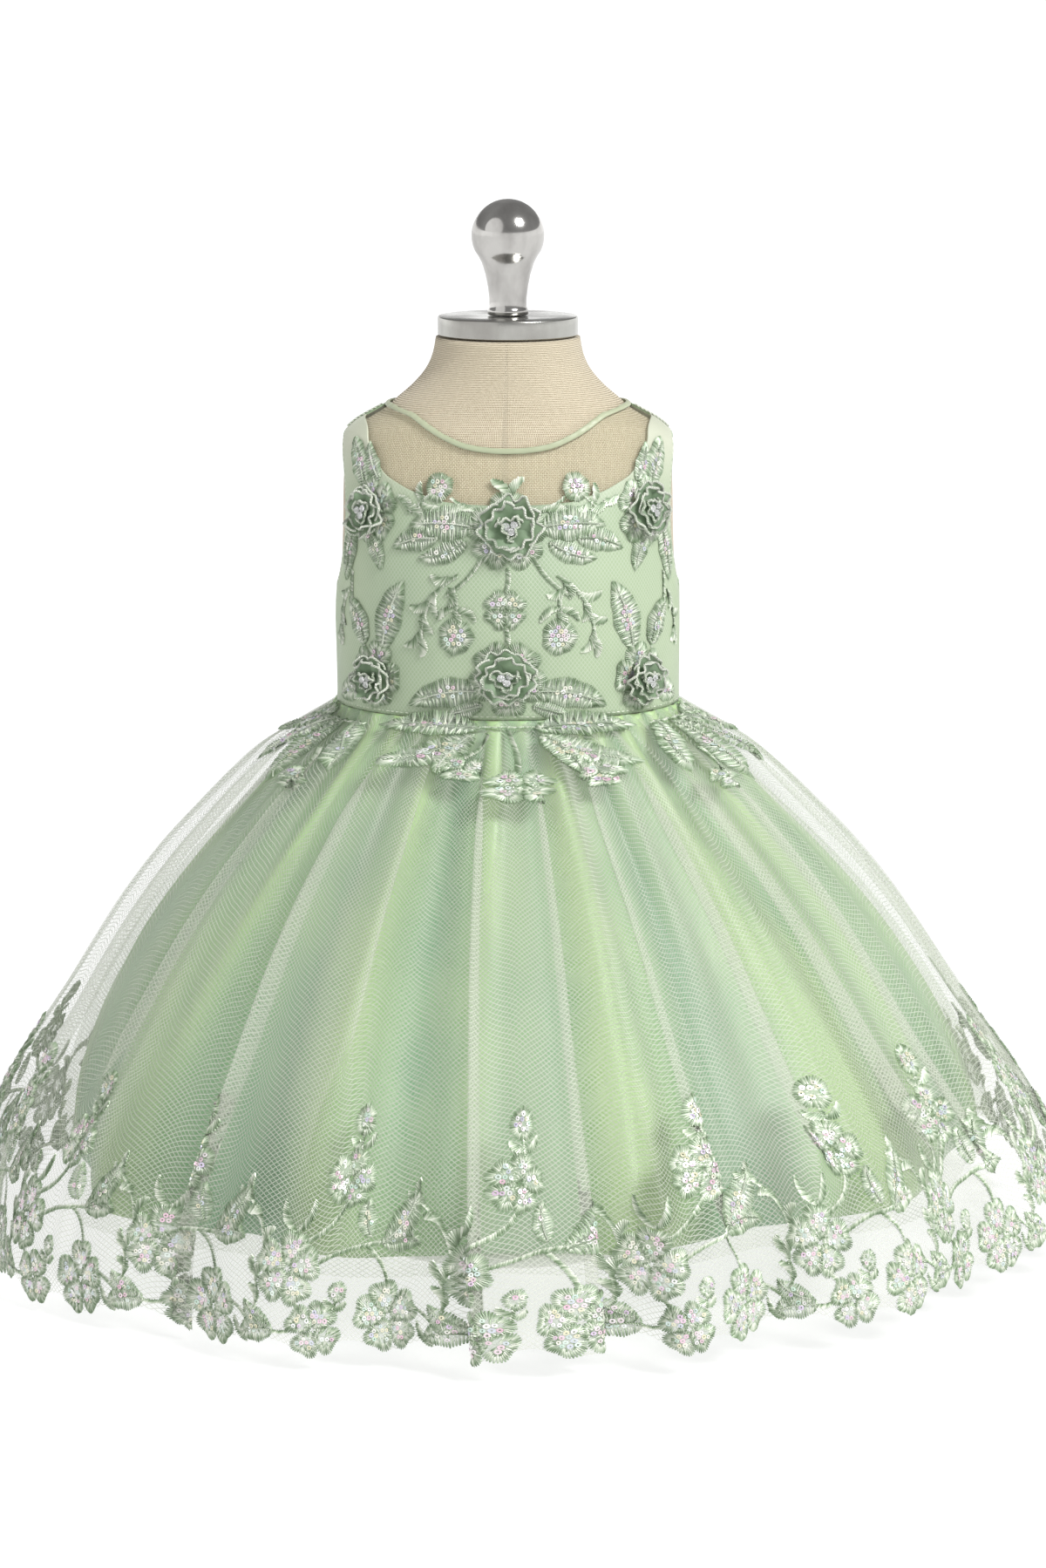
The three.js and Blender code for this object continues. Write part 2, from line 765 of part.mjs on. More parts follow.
function skirtWall(layer, from, to) {
  const angles = columnAngles(layer.folds, layer.shares, from, to);
  return wall(angles.length - 1, layer.rows.length - 1, (column, row, side) => {
    const degrees = angles[column];
    const z = rowZ(layer.rows[row], degrees);
    const away = layer.spread * Math.pow((WAIST_Z - z) / WAIST_Z, 0.7);
    return movedOut(layer.skin, degrees, z, layer.base + away + layer.thickness * side);
  });
}

// The lace border lies on the net's own cells: s runs round the hem, t climbs from its edge
const BORDER_DEGREES = 360 / HEM_LACE.repeats / HEM_LACE.period;
const NET_COLUMNS = [
  ...columnAngles(NET_FOLDS, NET_SHARES, -90, 90),
  ...columnAngles(NET_FOLDS, NET_SHARES, 90, 270),
];

function onLaceBand(s, t, side) {
  const degrees = s * BORDER_DEGREES;
  const turned = THREE.MathUtils.euclideanModulo(degrees - NET_COLUMNS[0], 360) + NET_COLUMNS[0];
  let j = 0;
  while (j < NET_COLUMNS.length - 2 && NET_COLUMNS[j + 1] < turned) j += 1;
  const [from, to] = [NET_COLUMNS[j], NET_COLUMNS[j + 1]];
  const across = (turned - from) / (to - from);
  const z = HEM_CLEAR + t;
  let r = 0;
  while (r < LACE_NET_ROWS.length - 2 && LACE_NET_ROWS[r + 1].z < z) r += 1;
  const up = (z - LACE_NET_ROWS[r].z) / (LACE_NET_ROWS[r + 1].z - LACE_NET_ROWS[r].z);
  const out = LACE_GAP + LACE_WALL * side;
  const corner = (angle, row) => {
    const height = rowZ(LACE_NET_ROWS[row], angle);
    const point = movedOut(netSkin, angle, height, NET_WALL);
    return point.addScaledVector(wayOut(netSkin, angle, height), out);
  };
  const low = corner(from, r).lerp(corner(to, r), across);
  const high = corner(from, r + 1).lerp(corner(to, r + 1), across);
  return low.lerp(high, up);
}

// The lines of the net's cells in the border's flat plane
const BORDER_COLUMNS = NET_COLUMNS.flatMap((angle) =>
  [angle, angle + 360].map((turned) => turned / BORDER_DEGREES),
);
const BORDER_ROWS = LACE_NET_ROWS.slice(1, 3).map((row) => row.z - HEM_CLEAR);

// One repeat of the lace border round s = 0; t climbs from the lowest point
function hemRepeat(centre) {
  const at = (s, t) => [centre + s, t];
  return [
    flower(at(-28, 44), 5, 19, 10),
    flower(at(0, 84), 4, 15.5, 20),
    stem(at(-22, 48), at(0, 80), 3),
    leaf(at(0, 88), at(4, 121), 15),
    flower(at(24, 20), 5, 19, -8),
    leaf(at(-20, 46), at(48, 56), 15),
    leaf(at(9, 51), at(44, 84), 15),
    stem(at(12, 54), at(24, 26), 3),
    flower(at(-16, 15), 4, 15, 32),
    stem(at(-27, 36), at(-18, 18), 4),
    leaf(at(-60, 14), at(-14, 15), 10),
    stem(at(26, 18), at(50, 14), 3),
  ];
}

function hemLace(firstRepeat, count) {
  const outlines = Array.from({ length: count }, (_, i) =>
    hemRepeat((firstRepeat + i) * HEM_LACE.period),
  ).flat();
  const from = (firstRepeat - 0.5) * HEM_LACE.period + SEAM_GAP;
  const to = from + count * HEM_LACE.period - 2 * SEAM_GAP;
  const band = [
    [from, -5],
    [to, -5],
    [to, HEM_LACE.height + 5],
    [from, HEM_LACE.height + 5],
  ];
  const flat = joined(outlines).intersect(flatSolid(band));
  return wrapped(flat, onLaceBand, BORDER_COLUMNS, BORDER_ROWS);
}

// Lace on the bodice: the middle spray, and the side spray for one side (1 or -1)
function middleLace() {
  const right = [
    leaf([10, 383], [57.5, 379.5], 20),
    leaf([20, 382], [50, 366], 12),
    leaf([6, 392], [41, 409], 9),
    stem([8, 378], [31, 352], 3),
    leaf([32, 355], [23, 326], 15),
    leaf([6, 305], [50, 292], 13),
  ];
  const centre = [
    flower([0, 384], 6, 20.5),
    bud([-1, 344], 9, 18),
    stem([0, 372], [0, 320], 3),
    flower([0, 310], 5, 20.5, 180),
  ];
  return [...centre, ...right, ...right.map(mirrored)];
}

function sideLace(side) {
  const outlines = [
    flower([76, 392], 5, 19.5, 15),
    leaf([78, 396], [101, 427], 15),
    leaf([80, 386], [98, 350], 10),
    stem([94, 358], [78, 318], 3),
    leaf([74, 314], [51, 358], 17),
    leaf([76, 312], [98, 343], 13),
    flower([72, 307.5], 5, 18.8, 200),
  ];
  return side > 0 ? outlines : outlines.map(mirrored);
}

// Leaves that hang from the waist over the net, in arc and drop below the seam
function waistMiddleLace() {
  const right = [
    leaf([10, -5], [62, -6], 9),
    leaf([12, -7], [50, -30], 12),
    leaf([16, -6], [24, -34], 9),
  ];
  return [
    stem([-24, -5], [24, -5], 4.6),
    stem([-6, -6], [3, -36]),
    flower([4, -42], 4, 9.5, 10),
    ...right,
    ...right.map(mirrored),
  ];
}

function waistSideLace(side) {
  const outlines = [
    stem([66, -5], [104, -5], 5),
    leaf([80, -6], [68, -40], 11),
    leaf([88, -6], [90, -52], 13),
    leaf([96, -6], [114, -44], 13),
    leaf([102, -5], [132, -22], 11),
    bud([79, -30], 7),
  ];
  return side > 0 ? outlines : outlines.map(mirrored);
}

// A gathered cloth rose standing on the lace: rings of radius and height, petals as waves
const ROSE_RINGS = [
  { radius: 1, low: 0.6, high: 0.6, lobes: 5 },
  { radius: 1.02, low: 4.2, high: 6.2, lobes: 5 },
  { radius: 0.7, low: 5.4, high: 9.2, lobes: 5 },
  { radius: 0.34, low: 5.6, high: 8, lobes: 3 },
];
function rosette({ s, z, radius }) {
  const segments = 10;
  const place = onBody(SKIN_GAP + SATIN_WALL + LACE_GAP + LACE_WALL + SEAM_GAP, 1);
  const points = [];
  const faces = [];
  const ringAt = (ring, i) => ring * segments + (i % segments);
  ROSE_RINGS.forEach((row, ring) => {
    for (let i = 0; i < segments; i += 1) {
      const a = (2 * Math.PI * i) / segments;
      const wave = (1 + Math.cos(row.lobes * a + ring)) / 2;
      const reach = radius * row.radius * (ring === 0 ? 0.72 : 0.9 + 0.1 * wave);
      const height = ring === 0 ? 0 : THREE.MathUtils.lerp(row.low, row.high, wave);
      points.push(place(s + reach * Math.cos(a), z + reach * Math.sin(a), height));
    }
  });
  const last = ROSE_RINGS.length - 1;
  for (let ring = 0; ring < last; ring += 1) {
    for (let i = 0; i < segments; i += 1) {
      faces.push([ringAt(ring, i), ringAt(ring, i + 1), ringAt(ring + 1, i + 1)]);
      faces.push([ringAt(ring, i), ringAt(ring + 1, i + 1), ringAt(ring + 1, i)]);
    }
  }
  const under = points.push(place(s, z, 0)) - 1;
  const top = points.push(place(s, z, 9)) - 1;
  for (let i = 0; i < segments; i += 1) {
    faces.push([under, ringAt(0, i + 1), ringAt(0, i)]);
    faces.push([top, ringAt(last, i), ringAt(last, i + 1)]);
  }
  return geometryFrom(points, faces);
}

const ROSES = [
  { name: "rose_top_middle", s: 1, z: 385, radius: 15.5 },
  { name: "rose_top_left", s: -76, z: 391, radius: 14 },
  { name: "rose_top_right", s: 76, z: 392, radius: 14 },
  { name: "rose_waist_middle", s: -1, z: 311, radius: 15.5 },
  { name: "rose_waist_left", s: -71, z: 306, radius: 14 },
  { name: "rose_waist_right", s: 72, z: 306, radius: 14 },
];

// The back closure: a narrow placket under five covered buttons
const PLACKET = { halfWidth: 7, top: 427, bottom: 291 };
function placket() {
  const rows = 7;
  const base = SKIN_GAP + SATIN_WALL + LACE_GAP;
  return wall(2, rows, (column, row, side) => {
    const degrees = 180 + ((column - 1) * PLACKET.halfWidth) / ARC_PER_DEGREE;
    const z = THREE.MathUtils.lerp(PLACKET.bottom, PLACKET.top, row / rows);
    return movedOut(bodySkin, degrees, z, base + SATIN_WALL * side);
  });
}

const BUTTON = { count: 5, radius: 4.5, height: 3, first: 302, pitch: 28 };
function button(number) {
  const base = SKIN_GAP + 2 * SATIN_WALL + 2 * LACE_GAP;
  const z = BUTTON.first + BUTTON.pitch * number;
  const profile = [
    [0, 0],
    [BUTTON.radius * 0.9, 0],
    [BUTTON.radius * 0.9, BUTTON.height * 0.7],
    [0, BUTTON.height],
  ];
  const geometry = new THREE.LatheGeometry(
    profile.map(([radius, y]) => new THREE.Vector2(radius, y)),
    8,
  );
  const foot = movedOut(bodySkin, 180, z, base);
  const out = movedOut(bodySkin, 180, z, base + 1).sub(foot).normalize();
  const turn = new THREE.Quaternion().setFromUnitVectors(new THREE.Vector3(0, 1, 0), out);
  return geometry.applyQuaternion(turn).translate(foot.x, foot.y, foot.z);
}

const dress = new THREE.Group();
function add(name, geometry, style) {
  const material = new THREE.MeshStandardMaterial(STYLE[style]);
  const mesh = new THREE.Mesh(geometry, material);
  mesh.name = name;
  dress.add(mesh);
}

add("form_torso", formTorso(), "linen");
add("form_cap", disc(CAP.radius, capBottom, capTop, 28), "chrome");
add("form_knob", formKnob(), "chrome");
add("form_pole", disc(POLE_RADIUS, BASE.height + SEAM_GAP, BODY[0].z - SEAM_GAP, 16), "chrome");
add("form_base", disc(BASE.radius, 0, BASE.height, 28), "enamel");

add("bodice_front", bodiceFront(), "satin");
add("yoke_front", yokeFront(), "net");
add("bodice_back_right", bodiceBack(1), "satin");
add("bodice_back_left", bodiceBack(-1), "satin");
add("neck_binding", neckBinding(), "net");
add("back_placket", placket(), "satin");
for (let i = 0; i < BUTTON.count; i += 1) {
  add(`back_button_${i + 1}`, button(i), "satin");
}

for (const layer of SKIRT_LAYERS) {
  add(`${layer.name}_front`, skirtWall(layer, -90, 90), layer.style);
  add(`${layer.name}_back`, skirtWall(layer, 90, 270), layer.style);
}

const laceOnBody = onBody(SKIN_GAP + SATIN_WALL + LACE_GAP, LACE_WALL);
const LACE_COLUMNS = [-108, -88, -69, -50, -31, -11, 11, 31, 50, 69, 88, 108];
const BODY_LACE_ROWS = [330, 362, 384, 399, 412];
const WAIST_LACE_ROWS = [-26];
const bodyLace = (outlines) =>
  wrapped(joined(outlines), laceOnBody, LACE_COLUMNS, BODY_LACE_ROWS);
const waistLace = (outlines) =>
  wrapped(joined(outlines), onWaist, LACE_COLUMNS, WAIST_LACE_ROWS);
add("bodice_lace_middle", bodyLace(middleLace()), "lace");
add("bodice_lace_right", bodyLace(sideLace(1)), "lace");
add("bodice_lace_left", bodyLace(sideLace(-1)), "lace");
add("waist_lace_middle", waistLace(waistMiddleLace()), "lace");
add("waist_lace_right", waistLace(waistSideLace(1)), "lace");
add("waist_lace_left", waistLace(waistSideLace(-1)), "lace");

const QUARTER = HEM_LACE.repeats / 4;
["front", "right", "back", "left"].forEach((name, i) => {
  add(`hem_lace_${name}`, hemLace(i * QUARTER - 2, QUARTER), "lace");
});

for (const rose of ROSES) {
  add(rose.name, rosette(rose), "ribbon");
}

export default dress;
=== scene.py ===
# Looks of a baby's sleeveless pageant dress on a limbless dress form, built round the CAD frame.
# Tables are in millimetres on the frame's axes: the dress faces -Y, +X is on the viewer's right.
# Angles run from the front centre towards +X. On the bodice, s is the arc round the chest.
import math

import bpy
import numpy as np
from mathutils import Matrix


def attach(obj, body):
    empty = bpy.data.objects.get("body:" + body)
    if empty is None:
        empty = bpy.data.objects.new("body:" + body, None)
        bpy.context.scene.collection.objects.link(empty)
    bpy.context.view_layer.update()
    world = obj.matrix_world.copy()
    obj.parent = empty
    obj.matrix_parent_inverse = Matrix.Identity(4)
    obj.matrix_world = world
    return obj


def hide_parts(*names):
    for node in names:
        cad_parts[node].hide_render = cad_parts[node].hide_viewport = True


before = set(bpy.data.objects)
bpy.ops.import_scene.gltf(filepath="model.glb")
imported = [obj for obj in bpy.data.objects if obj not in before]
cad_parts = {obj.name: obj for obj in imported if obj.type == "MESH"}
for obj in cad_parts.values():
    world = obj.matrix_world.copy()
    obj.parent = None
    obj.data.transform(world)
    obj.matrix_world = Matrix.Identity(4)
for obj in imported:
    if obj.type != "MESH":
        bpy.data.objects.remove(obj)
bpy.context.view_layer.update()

MM = 0.001
chance = np.random.default_rng(11)

# Driving dimensions, as the part's source has them
ARC_PER_DEGREE = 1.45
SIDE = 90 * ARC_PER_DEGREE
WAIST_Z = 288.0
SATIN_HEM_Z = 49.0
PLAIN_NET_HEM_Z = 41.0
HEM_CLEAR = 9.0
HEM_TILT = 7.0
SKIRT_SHIFT = 9.0
BORDER_DEGREES = 0.18
REPEATS = 20
REPEAT_PERIOD = 100.0
CAP_Z, CAP_RADIUS, CAP_HEIGHT = 478.8, 36.4, 10.0
KNOB_TOP_Z, KNOB_FOOT_Z, BALL_RADIUS = 549.0, 489.1, 18.9
BASE_RADIUS, BASE_HEIGHT, POLE_RADIUS = 80.0, 8.0, 11.0

# Rows of height, half width, reach to the front and reach to the back
Z, HALF, FRONT, BACK = 0, 1, 2, 3
BODY = np.array([
    (170, 84, 66, 62), (200, 89, 70, 66), (240, 91, 72, 68), (264, 89.5, 71, 65),
    (288, 88, 70, 62), (312, 88, 70, 61.5), (335, 88, 70, 61.5), (360, 87.6, 68.5, 61),
    (380, 87, 65, 60), (397, 86.7, 60, 58), (409, 86.3, 53.5, 55), (420, 85.8, 47, 51.5),
    (426, 84.5, 45, 49.5), (430, 81.8, 43.8, 48), (434, 77, 42.8, 46.6), (438, 70, 41.6, 45),
    (442, 63, 40.6, 43.6), (447, 57, 39.6, 42), (453, 50, 38.8, 40.4), (461, 43, 38, 38.8),
    (469, 39.2, 37.5, 37.8), (478, 37.4, 37.2, 37.2),
])
# Rows of height and the half widths of the satin and of the lace net
SATIN, NET = 1, 2
SKIRT = np.array([
    (26, 238, 289), (49, 237, 284), (70, 235, 277), (92, 229, 265), (113, 221, 251),
    (135, 210, 236), (160, 195, 220), (185, 177, 203), (210, 156, 183), (230, 137, 164),
    (250, 118, 144), (264, 105, 128), (276, 95, 109), (283, 90.5, 97), (288, 88, 89.3),
])
# Broad folds: angle, width in degrees, and lift at the hem, below 0 in a valley
SATIN_FOLDS = [
    (-157, 15, 10), (-131, 14, -9), (-104, 14, 10), (-80, 13, -8), (-58, 13, 10), (-37, 11, -11),
    (-20, 11, 10), (-4, 9, -6), (12, 11, 9), (30, 11, -9), (50, 13, 11), (74, 13, -8),
    (99, 14, 10), (127, 15, -10), (155, 14, 9), (179, 13, -8),
]
NET_FOLDS = [
    (-156, 13, 9), (-129, 14, -9), (-103, 12, 8), (-80, 11, -9), (-59, 10, 7), (-38, 9, -12),
    (-25, 7, 7), (-13, 7, -11), (-1, 6, 6), (9, 6, -11), (16.5, 5, 7), (25, 6, -12), (38, 8, 6),
    (53, 9, -9), (72, 11, 8), (95, 12, -9), (121, 13, 8), (148, 14, -9), (176, 15, 8),
]
# Creases: angle at the waist, lean in degrees to the hem, half width, lift, top and bottom height
SATIN_CREASES = [
    (-150, -4, 3.2, 3, 280, 120), (-118, -3, 4, -4, 284, 60), (-92, 2, 3, 3, 276, 130),
    (-66, -5, 3.4, -4, 285, 70), (-47, -7, 2.6, 4, 284, 110), (-31, -6, 3.2, -4, 285, 40),
    (-21, -5, 2.6, 4, 285, 60), (-12, -4, 3.4, -5, 285, 40), (-4, -2, 2.4, 4.5, 284, 50),
    (5, 2, 3.2, -5.5, 285, 30), (12, 2, 2.2, 3.5, 284, 60), (24, 5, 3.4, -4.5, 285, 50),
    (38, 5, 2.8, 4, 284, 90), (48, 10, 3, -4.5, 285, 90), (62, 4, 3.2, 4, 284, 70),
    (88, -2, 3, 3, 280, 120), (112, 4, 4, -4, 284, 60), (139, 3, 3.4, 3.5, 282, 100),
    (168, -3, 3.6, -4, 284, 70), (-175, 2, 3, 3, 280, 130),
]
NET_CREASES = [
    (-166, -3, 1.7, 3, 286, 60), (-141, 2, 2, 3.4, 285, 40), (-116, -2, 1.6, -3, 284, 60),
    (-90, 1, 1.8, 3.2, 286, 30), (-70, -3, 1.5, 3.4, 285, 30), (-48, -6, 1.3, 3.6, 286, 30),
    (-30, -9, 1.2, 3.2, 286, 40), (-17, -2, 1.1, -2.6, 285, 60), (-5, 2, 1, 2.8, 286, 20),
    (13, 2, 1, 2.8, 286, 20), (21, 4, 1.1, -2.6, 284, 60), (33, 8, 1.2, 3.4, 286, 30),
    (44, 14, 1.4, 3.6, 286, 60), (60, 5, 1.5, 3.2, 286, 30), (82, -2, 1.7, 3.2, 285, 30),
    (106, 3, 1.8, -3, 285, 60), (133, -2, 1.9, 3.4, 286, 40), (162, 2, 1.9, 3, 285, 50),
]
# Tucks of the lace net, which fall over themselves: angle, lean, overlap, top, bottom, side
TUCKS = [
    (-152, -2, 4.6, 284, 20, 1), (-124, 3, 4.4, 282, 120, -1), (-98, -3, 5.0, 284, 60, 1),
    (-72, -4, 4.6, 285, 90, 1), (-52, -7, 5.6, 286, 110, 1), (-33, -5, 4.9, 286, -40, 1),
    (-19, -4, 3.8, 285, 130, -1), (-6, 2, 4.2, 286, -30, 1), (6, 1, 4.2, 286, -40, -1),
    (17, 5, 4.4, 286, 60, 1), (30, 6, 4.8, 286, 90, -1), (42, 13, 5.8, 286, 80, -1),
    (55, 6, 4.8, 285, 60, -1), (76, 4, 4.4, 285, -20, -1), (101, 2, 4.8, 284, 100, 1),
    (127, -3, 4.4, 284, -20, -1), (155, 2, 4.6, 285, 110, 1), (179, 2, 4.4, 284, 60, -1),
]
TUCK_WIDTH = 2.1
TUCK_DEPTH = 2.4
# How far the ends of creases and tucks fade: above and below the top, below and above the bottom
CREASE_ENDS = (4, 26, 25, 40)
TUCK_ENDS = (0, 45, 12, 30)
DOUBLED_TUCK_ENDS = (5, 30, 60, 20)
DOUBLED_CREASE_ENDS = (5, 30, 30, 40)
TUCK_EDGE = 1.5  # degrees from a tuck's middle to its edges
LOWER_SHAPE = 0.94  # the skirt's depth as a share of its width, below the waist

# The bodice's edges, as arc and height on one half
PANEL_LOW = WAIST_Z + 0.3
PANEL_SIDE = SIDE - 0.15
BACK_EDGE = 2 * SIDE - 0.4
SCOOP = [
    (31, 398), (47, 402), (57, 405.7), (68, 411), (77, 420), (88, 430), (104, 434.4),
    (PANEL_SIDE, 436.4),
]
NECKLINE = [
    (0, 421), (20, 423), (37, 429), (50, 434), (64, 437.6), (76, 439.2), (90, 440.3),
    (108, 441.2), (PANEL_SIDE, 441.6),
]
BACK_NECK = [
    (SIDE + 0.15, 441.6), (147, 441.6), (164, 441.1), (180, 440), (197, 437.4), (213, 434.6),
    (229, 432), (245, 430.4), (BACK_EDGE, 430),
]
FRONT_SIDE = [
    (PANEL_SIDE, PANEL_LOW), (PANEL_SIDE, 318), (PANEL_SIDE, 346), (120, 349.5), (111, 360),
    (105.5, 374), (104, 388),
]
FRONT_STRAP = [
    (104, 388), (104.4, 394), (105.6, 400), (107.4, 406), (110, 412.5), (113.6, 419),
    (119, 425.4), (PANEL_SIDE, 429.4),
]
FRONT_MIDDLE = [PANEL_LOW, 316, 340, 356, 370, 384, 396.6]
BACK_SIDE = [
    (SIDE + 0.15, PANEL_LOW), (SIDE + 0.15, 318), (SIDE + 0.15, 346), (141, 349.5), (150, 360),
    (155.5, 374), (157, 389), (154.6, 403), (147, 420), (SIDE + 0.15, 429.4),
]
BACK_MIDDLE = [PANEL_LOW, 318, 345, 360, 373, 386, 398, 409, 416, 423]

# Soft creases of the bodice: arc, height, lean, half length, half width and lift
BODICE_CREASES = [
    (-121, 338, 76, 20, 3.0, 0.8), (-113, 324, 68, 24, 3.4, -0.5), (-109, 352, 58, 11, 2.2, 0.7),
    (-58, 338, 96, 24, 5.0, 0.35), (-34, 322, 84, 18, 4.2, 0.3), (8, 358, 100, 15, 4.4, 0.3),
    (42, 352, 78, 22, 4.6, 0.35), (62, 330, 98, 20, 4.0, 0.3), (108, 351, 122, 12, 2.2, 0.7),
    (116, 331, 104, 23, 3.2, 0.8), (123, 312, 92, 16, 3.0, -0.5), (143, 346, 118, 14, 2.6, 0.8),
    (152, 325, 84, 22, 3.6, 0.7), (178, 340, 96, 30, 5.0, -0.5), (199, 312, 76, 18, 3.8, 0.7),
    (214, 372, 104, 26, 4.6, 0.5), (236, 318, 88, 20, 3.0, 0.6), (242, 392, 80, 16, 3.0, -0.4),
    (-141, 344, 64, 13, 2.4, 0.8), (-156, 320, 98, 24, 3.8, 0.7), (-182, 334, 82, 26, 4.8, -0.5),
    (-206, 316, 104, 20, 3.4, 0.7), (-220, 378, 78, 22, 4.4, 0.5), (-238, 340, 95, 24, 3.0, 0.6),
]

CLOTH = "cloth"  # the map of the cloth's own millimetres
DOUBLED = "doubled"  # how much the net lies double there
# The next attribute is painted shade: the satin's colour darkens where it lies deep in a fold
FOLD_SHADE = "fold_shade"  # how deep the satin lies in a fold there

SLOPE_STEP = 0.4  # the step over which a skin's slope is taken
SATIN_OUT, SATIN_IN = 1.8, 0.8  # the distance of the satin's sides from its skin
PANEL_OUT, PANEL_IN = 1.8, 0.85
LACE_OUT = 1.9


# Curves and surfaces
def along(table, column, z):
    """A smooth curve through one column of a table whose rows climb in their first column."""
    at, values = table[:, 0], table[:, column]
    slopes = np.empty(len(at))
    slopes[1:-1] = (values[2:] - values[:-2]) / (at[2:] - at[:-2])
    slopes[0] = (values[1] - values[0]) / (at[1] - at[0])
    slopes[-1] = (values[-1] - values[-2]) / (at[-1] - at[-2])
    i = np.clip(np.searchsorted(at, z) - 1, 0, len(at) - 2)
    span = at[i + 1] - at[i]
    t = np.clip((z - at[i]) / span, 0, 1)
    low = values[i] * (2 * t**3 - 3 * t**2 + 1) + slopes[i] * span * (t**3 - 2 * t**2 + t)
    high = values[i + 1] * (3 * t**2 - 2 * t**3) + slopes[i + 1] * span * (t**3 - t**2)
    return low + high


def curve(rows, at):
    """Points on a smooth curve through a table's rows; at holds row numbers with fractions."""
    rows = np.asarray(rows, float).reshape(len(rows), -1)
    table = np.column_stack([np.arange(len(rows)), rows])
    return np.stack([along(table, k + 1, at) for k in range(rows.shape[1])], -1)


def smoothstep(low, high, value):
    t = np.clip((value - low) / (high - low), 0, 1)
    return t * t * (3 - 2 * t)


def around(degrees, at):
    """How far an angle is from another, the short way round."""
    return (degrees - at + 180) % 360 - 180


def unit(vectors):
    return vectors / (np.linalg.norm(vectors, axis=-1, keepdims=True) + 1e-9)


def run_along(path):
    """The distance from a path's start at each of its points."""
    return np.concatenate([[0], np.cumsum(np.linalg.norm(np.diff(path, axis=0), axis=1))])


def spots_at(path, run, at):
    """Flat points at distances along a path."""
    return np.stack([np.interp(at, run, path[:, k]) for k in (0, 1)], -1)


def circle(count):
    turns = np.arange(count) * 2 * np.pi / count
    return np.stack([np.cos(turns), np.sin(turns)], -1)


def body_skin(s, z):
    angle = np.radians(s / ARC_PER_DEGREE)
    reach = np.where(np.cos(angle) > 0, along(BODY, FRONT, z), along(BODY, BACK, z))
    return np.stack([along(BODY, HALF, z) * np.sin(angle), -reach * np.cos(angle), z], -1)


def bodice_creases_at(s, z):
    lift = np.zeros_like(s)
    for at, height, lean, length, width, depth in BODICE_CREASES:
        a = math.radians(lean)
        run = (s - at) * math.cos(a) + (z - height) * math.sin(a)
        off = (z - height) * math.cos(a) - (s - at) * math.sin(a)
        lift += depth * np.exp(-((run / length) ** 2) - (off / width) ** 2)
    return lift


def folds_at(folds, degrees, z):
    fall = np.clip((WAIST_Z - z) / (WAIST_Z - SATIN_HEM_Z), 0, 1.1)
    lift = np.zeros_like(degrees)
    for at, width, height in folds:
        away = around(degrees, at)
        wave = np.cos(np.pi * away / (2 * width)) ** 2
        lift += np.where(np.abs(away) < width, height * wave, 0)
    return lift * fall**1.3


def off_line(degrees, z, at, lean):
    """How far an angle is from a line that leans on its way down."""
    return around(degrees, at + lean * (WAIST_Z - z) / WAIST_Z)


def between(z, top, bottom, ends):
    """1 from a top to a bottom height, and 0 past where its ends fade."""
    above, below, under, over = ends
    return smoothstep(top + above, top - below, z) * smoothstep(bottom - under, bottom + over, z)


def creases_at(creases, degrees, z):
    lift = np.zeros_like(degrees)
    for at, lean, width, height, top, bottom in creases:
        reach = between(z, top, bottom, CREASE_ENDS)
        lift += height * reach * np.exp(-((off_line(degrees, z, at, lean) / width) ** 2))
    return lift


def made_gathers(count, deepest, longest):
    """Uneven gathers round the waist: angle, half width, lift and length of each."""
    at = np.arange(count) * 360 / count + chance.uniform(-0.34, 0.34, count) * 360 / count
    return np.column_stack([
        at,
        chance.uniform(0.26, 0.5, count) * 360 / count,
        deepest * chance.uniform(0.35, 1, count) * np.where(np.arange(count) % 2, 1, -0.7),
        longest * chance.uniform(0.3, 1, count) ** 1.5,
    ])


SATIN_GATHERS = made_gathers(84, 2.6, 110)
PLAIN_GATHERS = made_gathers(96, 1.2, 90)
NET_GATHERS = made_gathers(110, 2.2, 130)
TUCK_STRENGTHS = chance.uniform(0.35, 1.0, len(TUCKS))


def gathers_at(gathers, degrees, z):
    lift = np.zeros_like(degrees)
    drop = WAIST_Z - z
    for at, width, height, length in gathers:
        reach = (0.8 + 0.2 * smoothstep(0, 9, drop)) * np.exp(-((drop / length) ** 2))
        lift += height * reach * np.exp(-((around(degrees, at) / width) ** 2))
    return lift


def skirt_point(column, degrees, z, lift):
    angle = np.radians(degrees)
    fall = np.clip((WAIST_Z - z) / WAIST_Z, 0, 1)
    row = BODY[BODY[:, Z] == WAIST_Z][0]
    waist_shape = np.where(np.cos(angle) > 0, row[FRONT], row[BACK]) / row[HALF]
    shape = waist_shape + (LOWER_SHAPE - waist_shape) * np.minimum(1, fall * 2.5)
    radius = along(SKIRT, column, z) + lift
    x = radius * np.sin(angle) + SKIRT_SHIFT * fall
    return np.stack([x, -radius * shape * np.cos(angle), z], -1)


def satin_skin(degrees, z):
    lift = folds_at(SATIN_FOLDS, degrees, z) + creases_at(SATIN_CREASES, degrees, z)
    return skirt_point(SATIN, degrees, z, lift + gathers_at(SATIN_GATHERS, degrees, z))


def plain_net_skin(degrees, z):
    lift = folds_at(SATIN_FOLDS, degrees, z) + gathers_at(PLAIN_GATHERS, degrees, z)
    lift += 0.6 * creases_at(NET_CREASES, degrees + 7, z)
    return skirt_point(SATIN, degrees, z, lift)


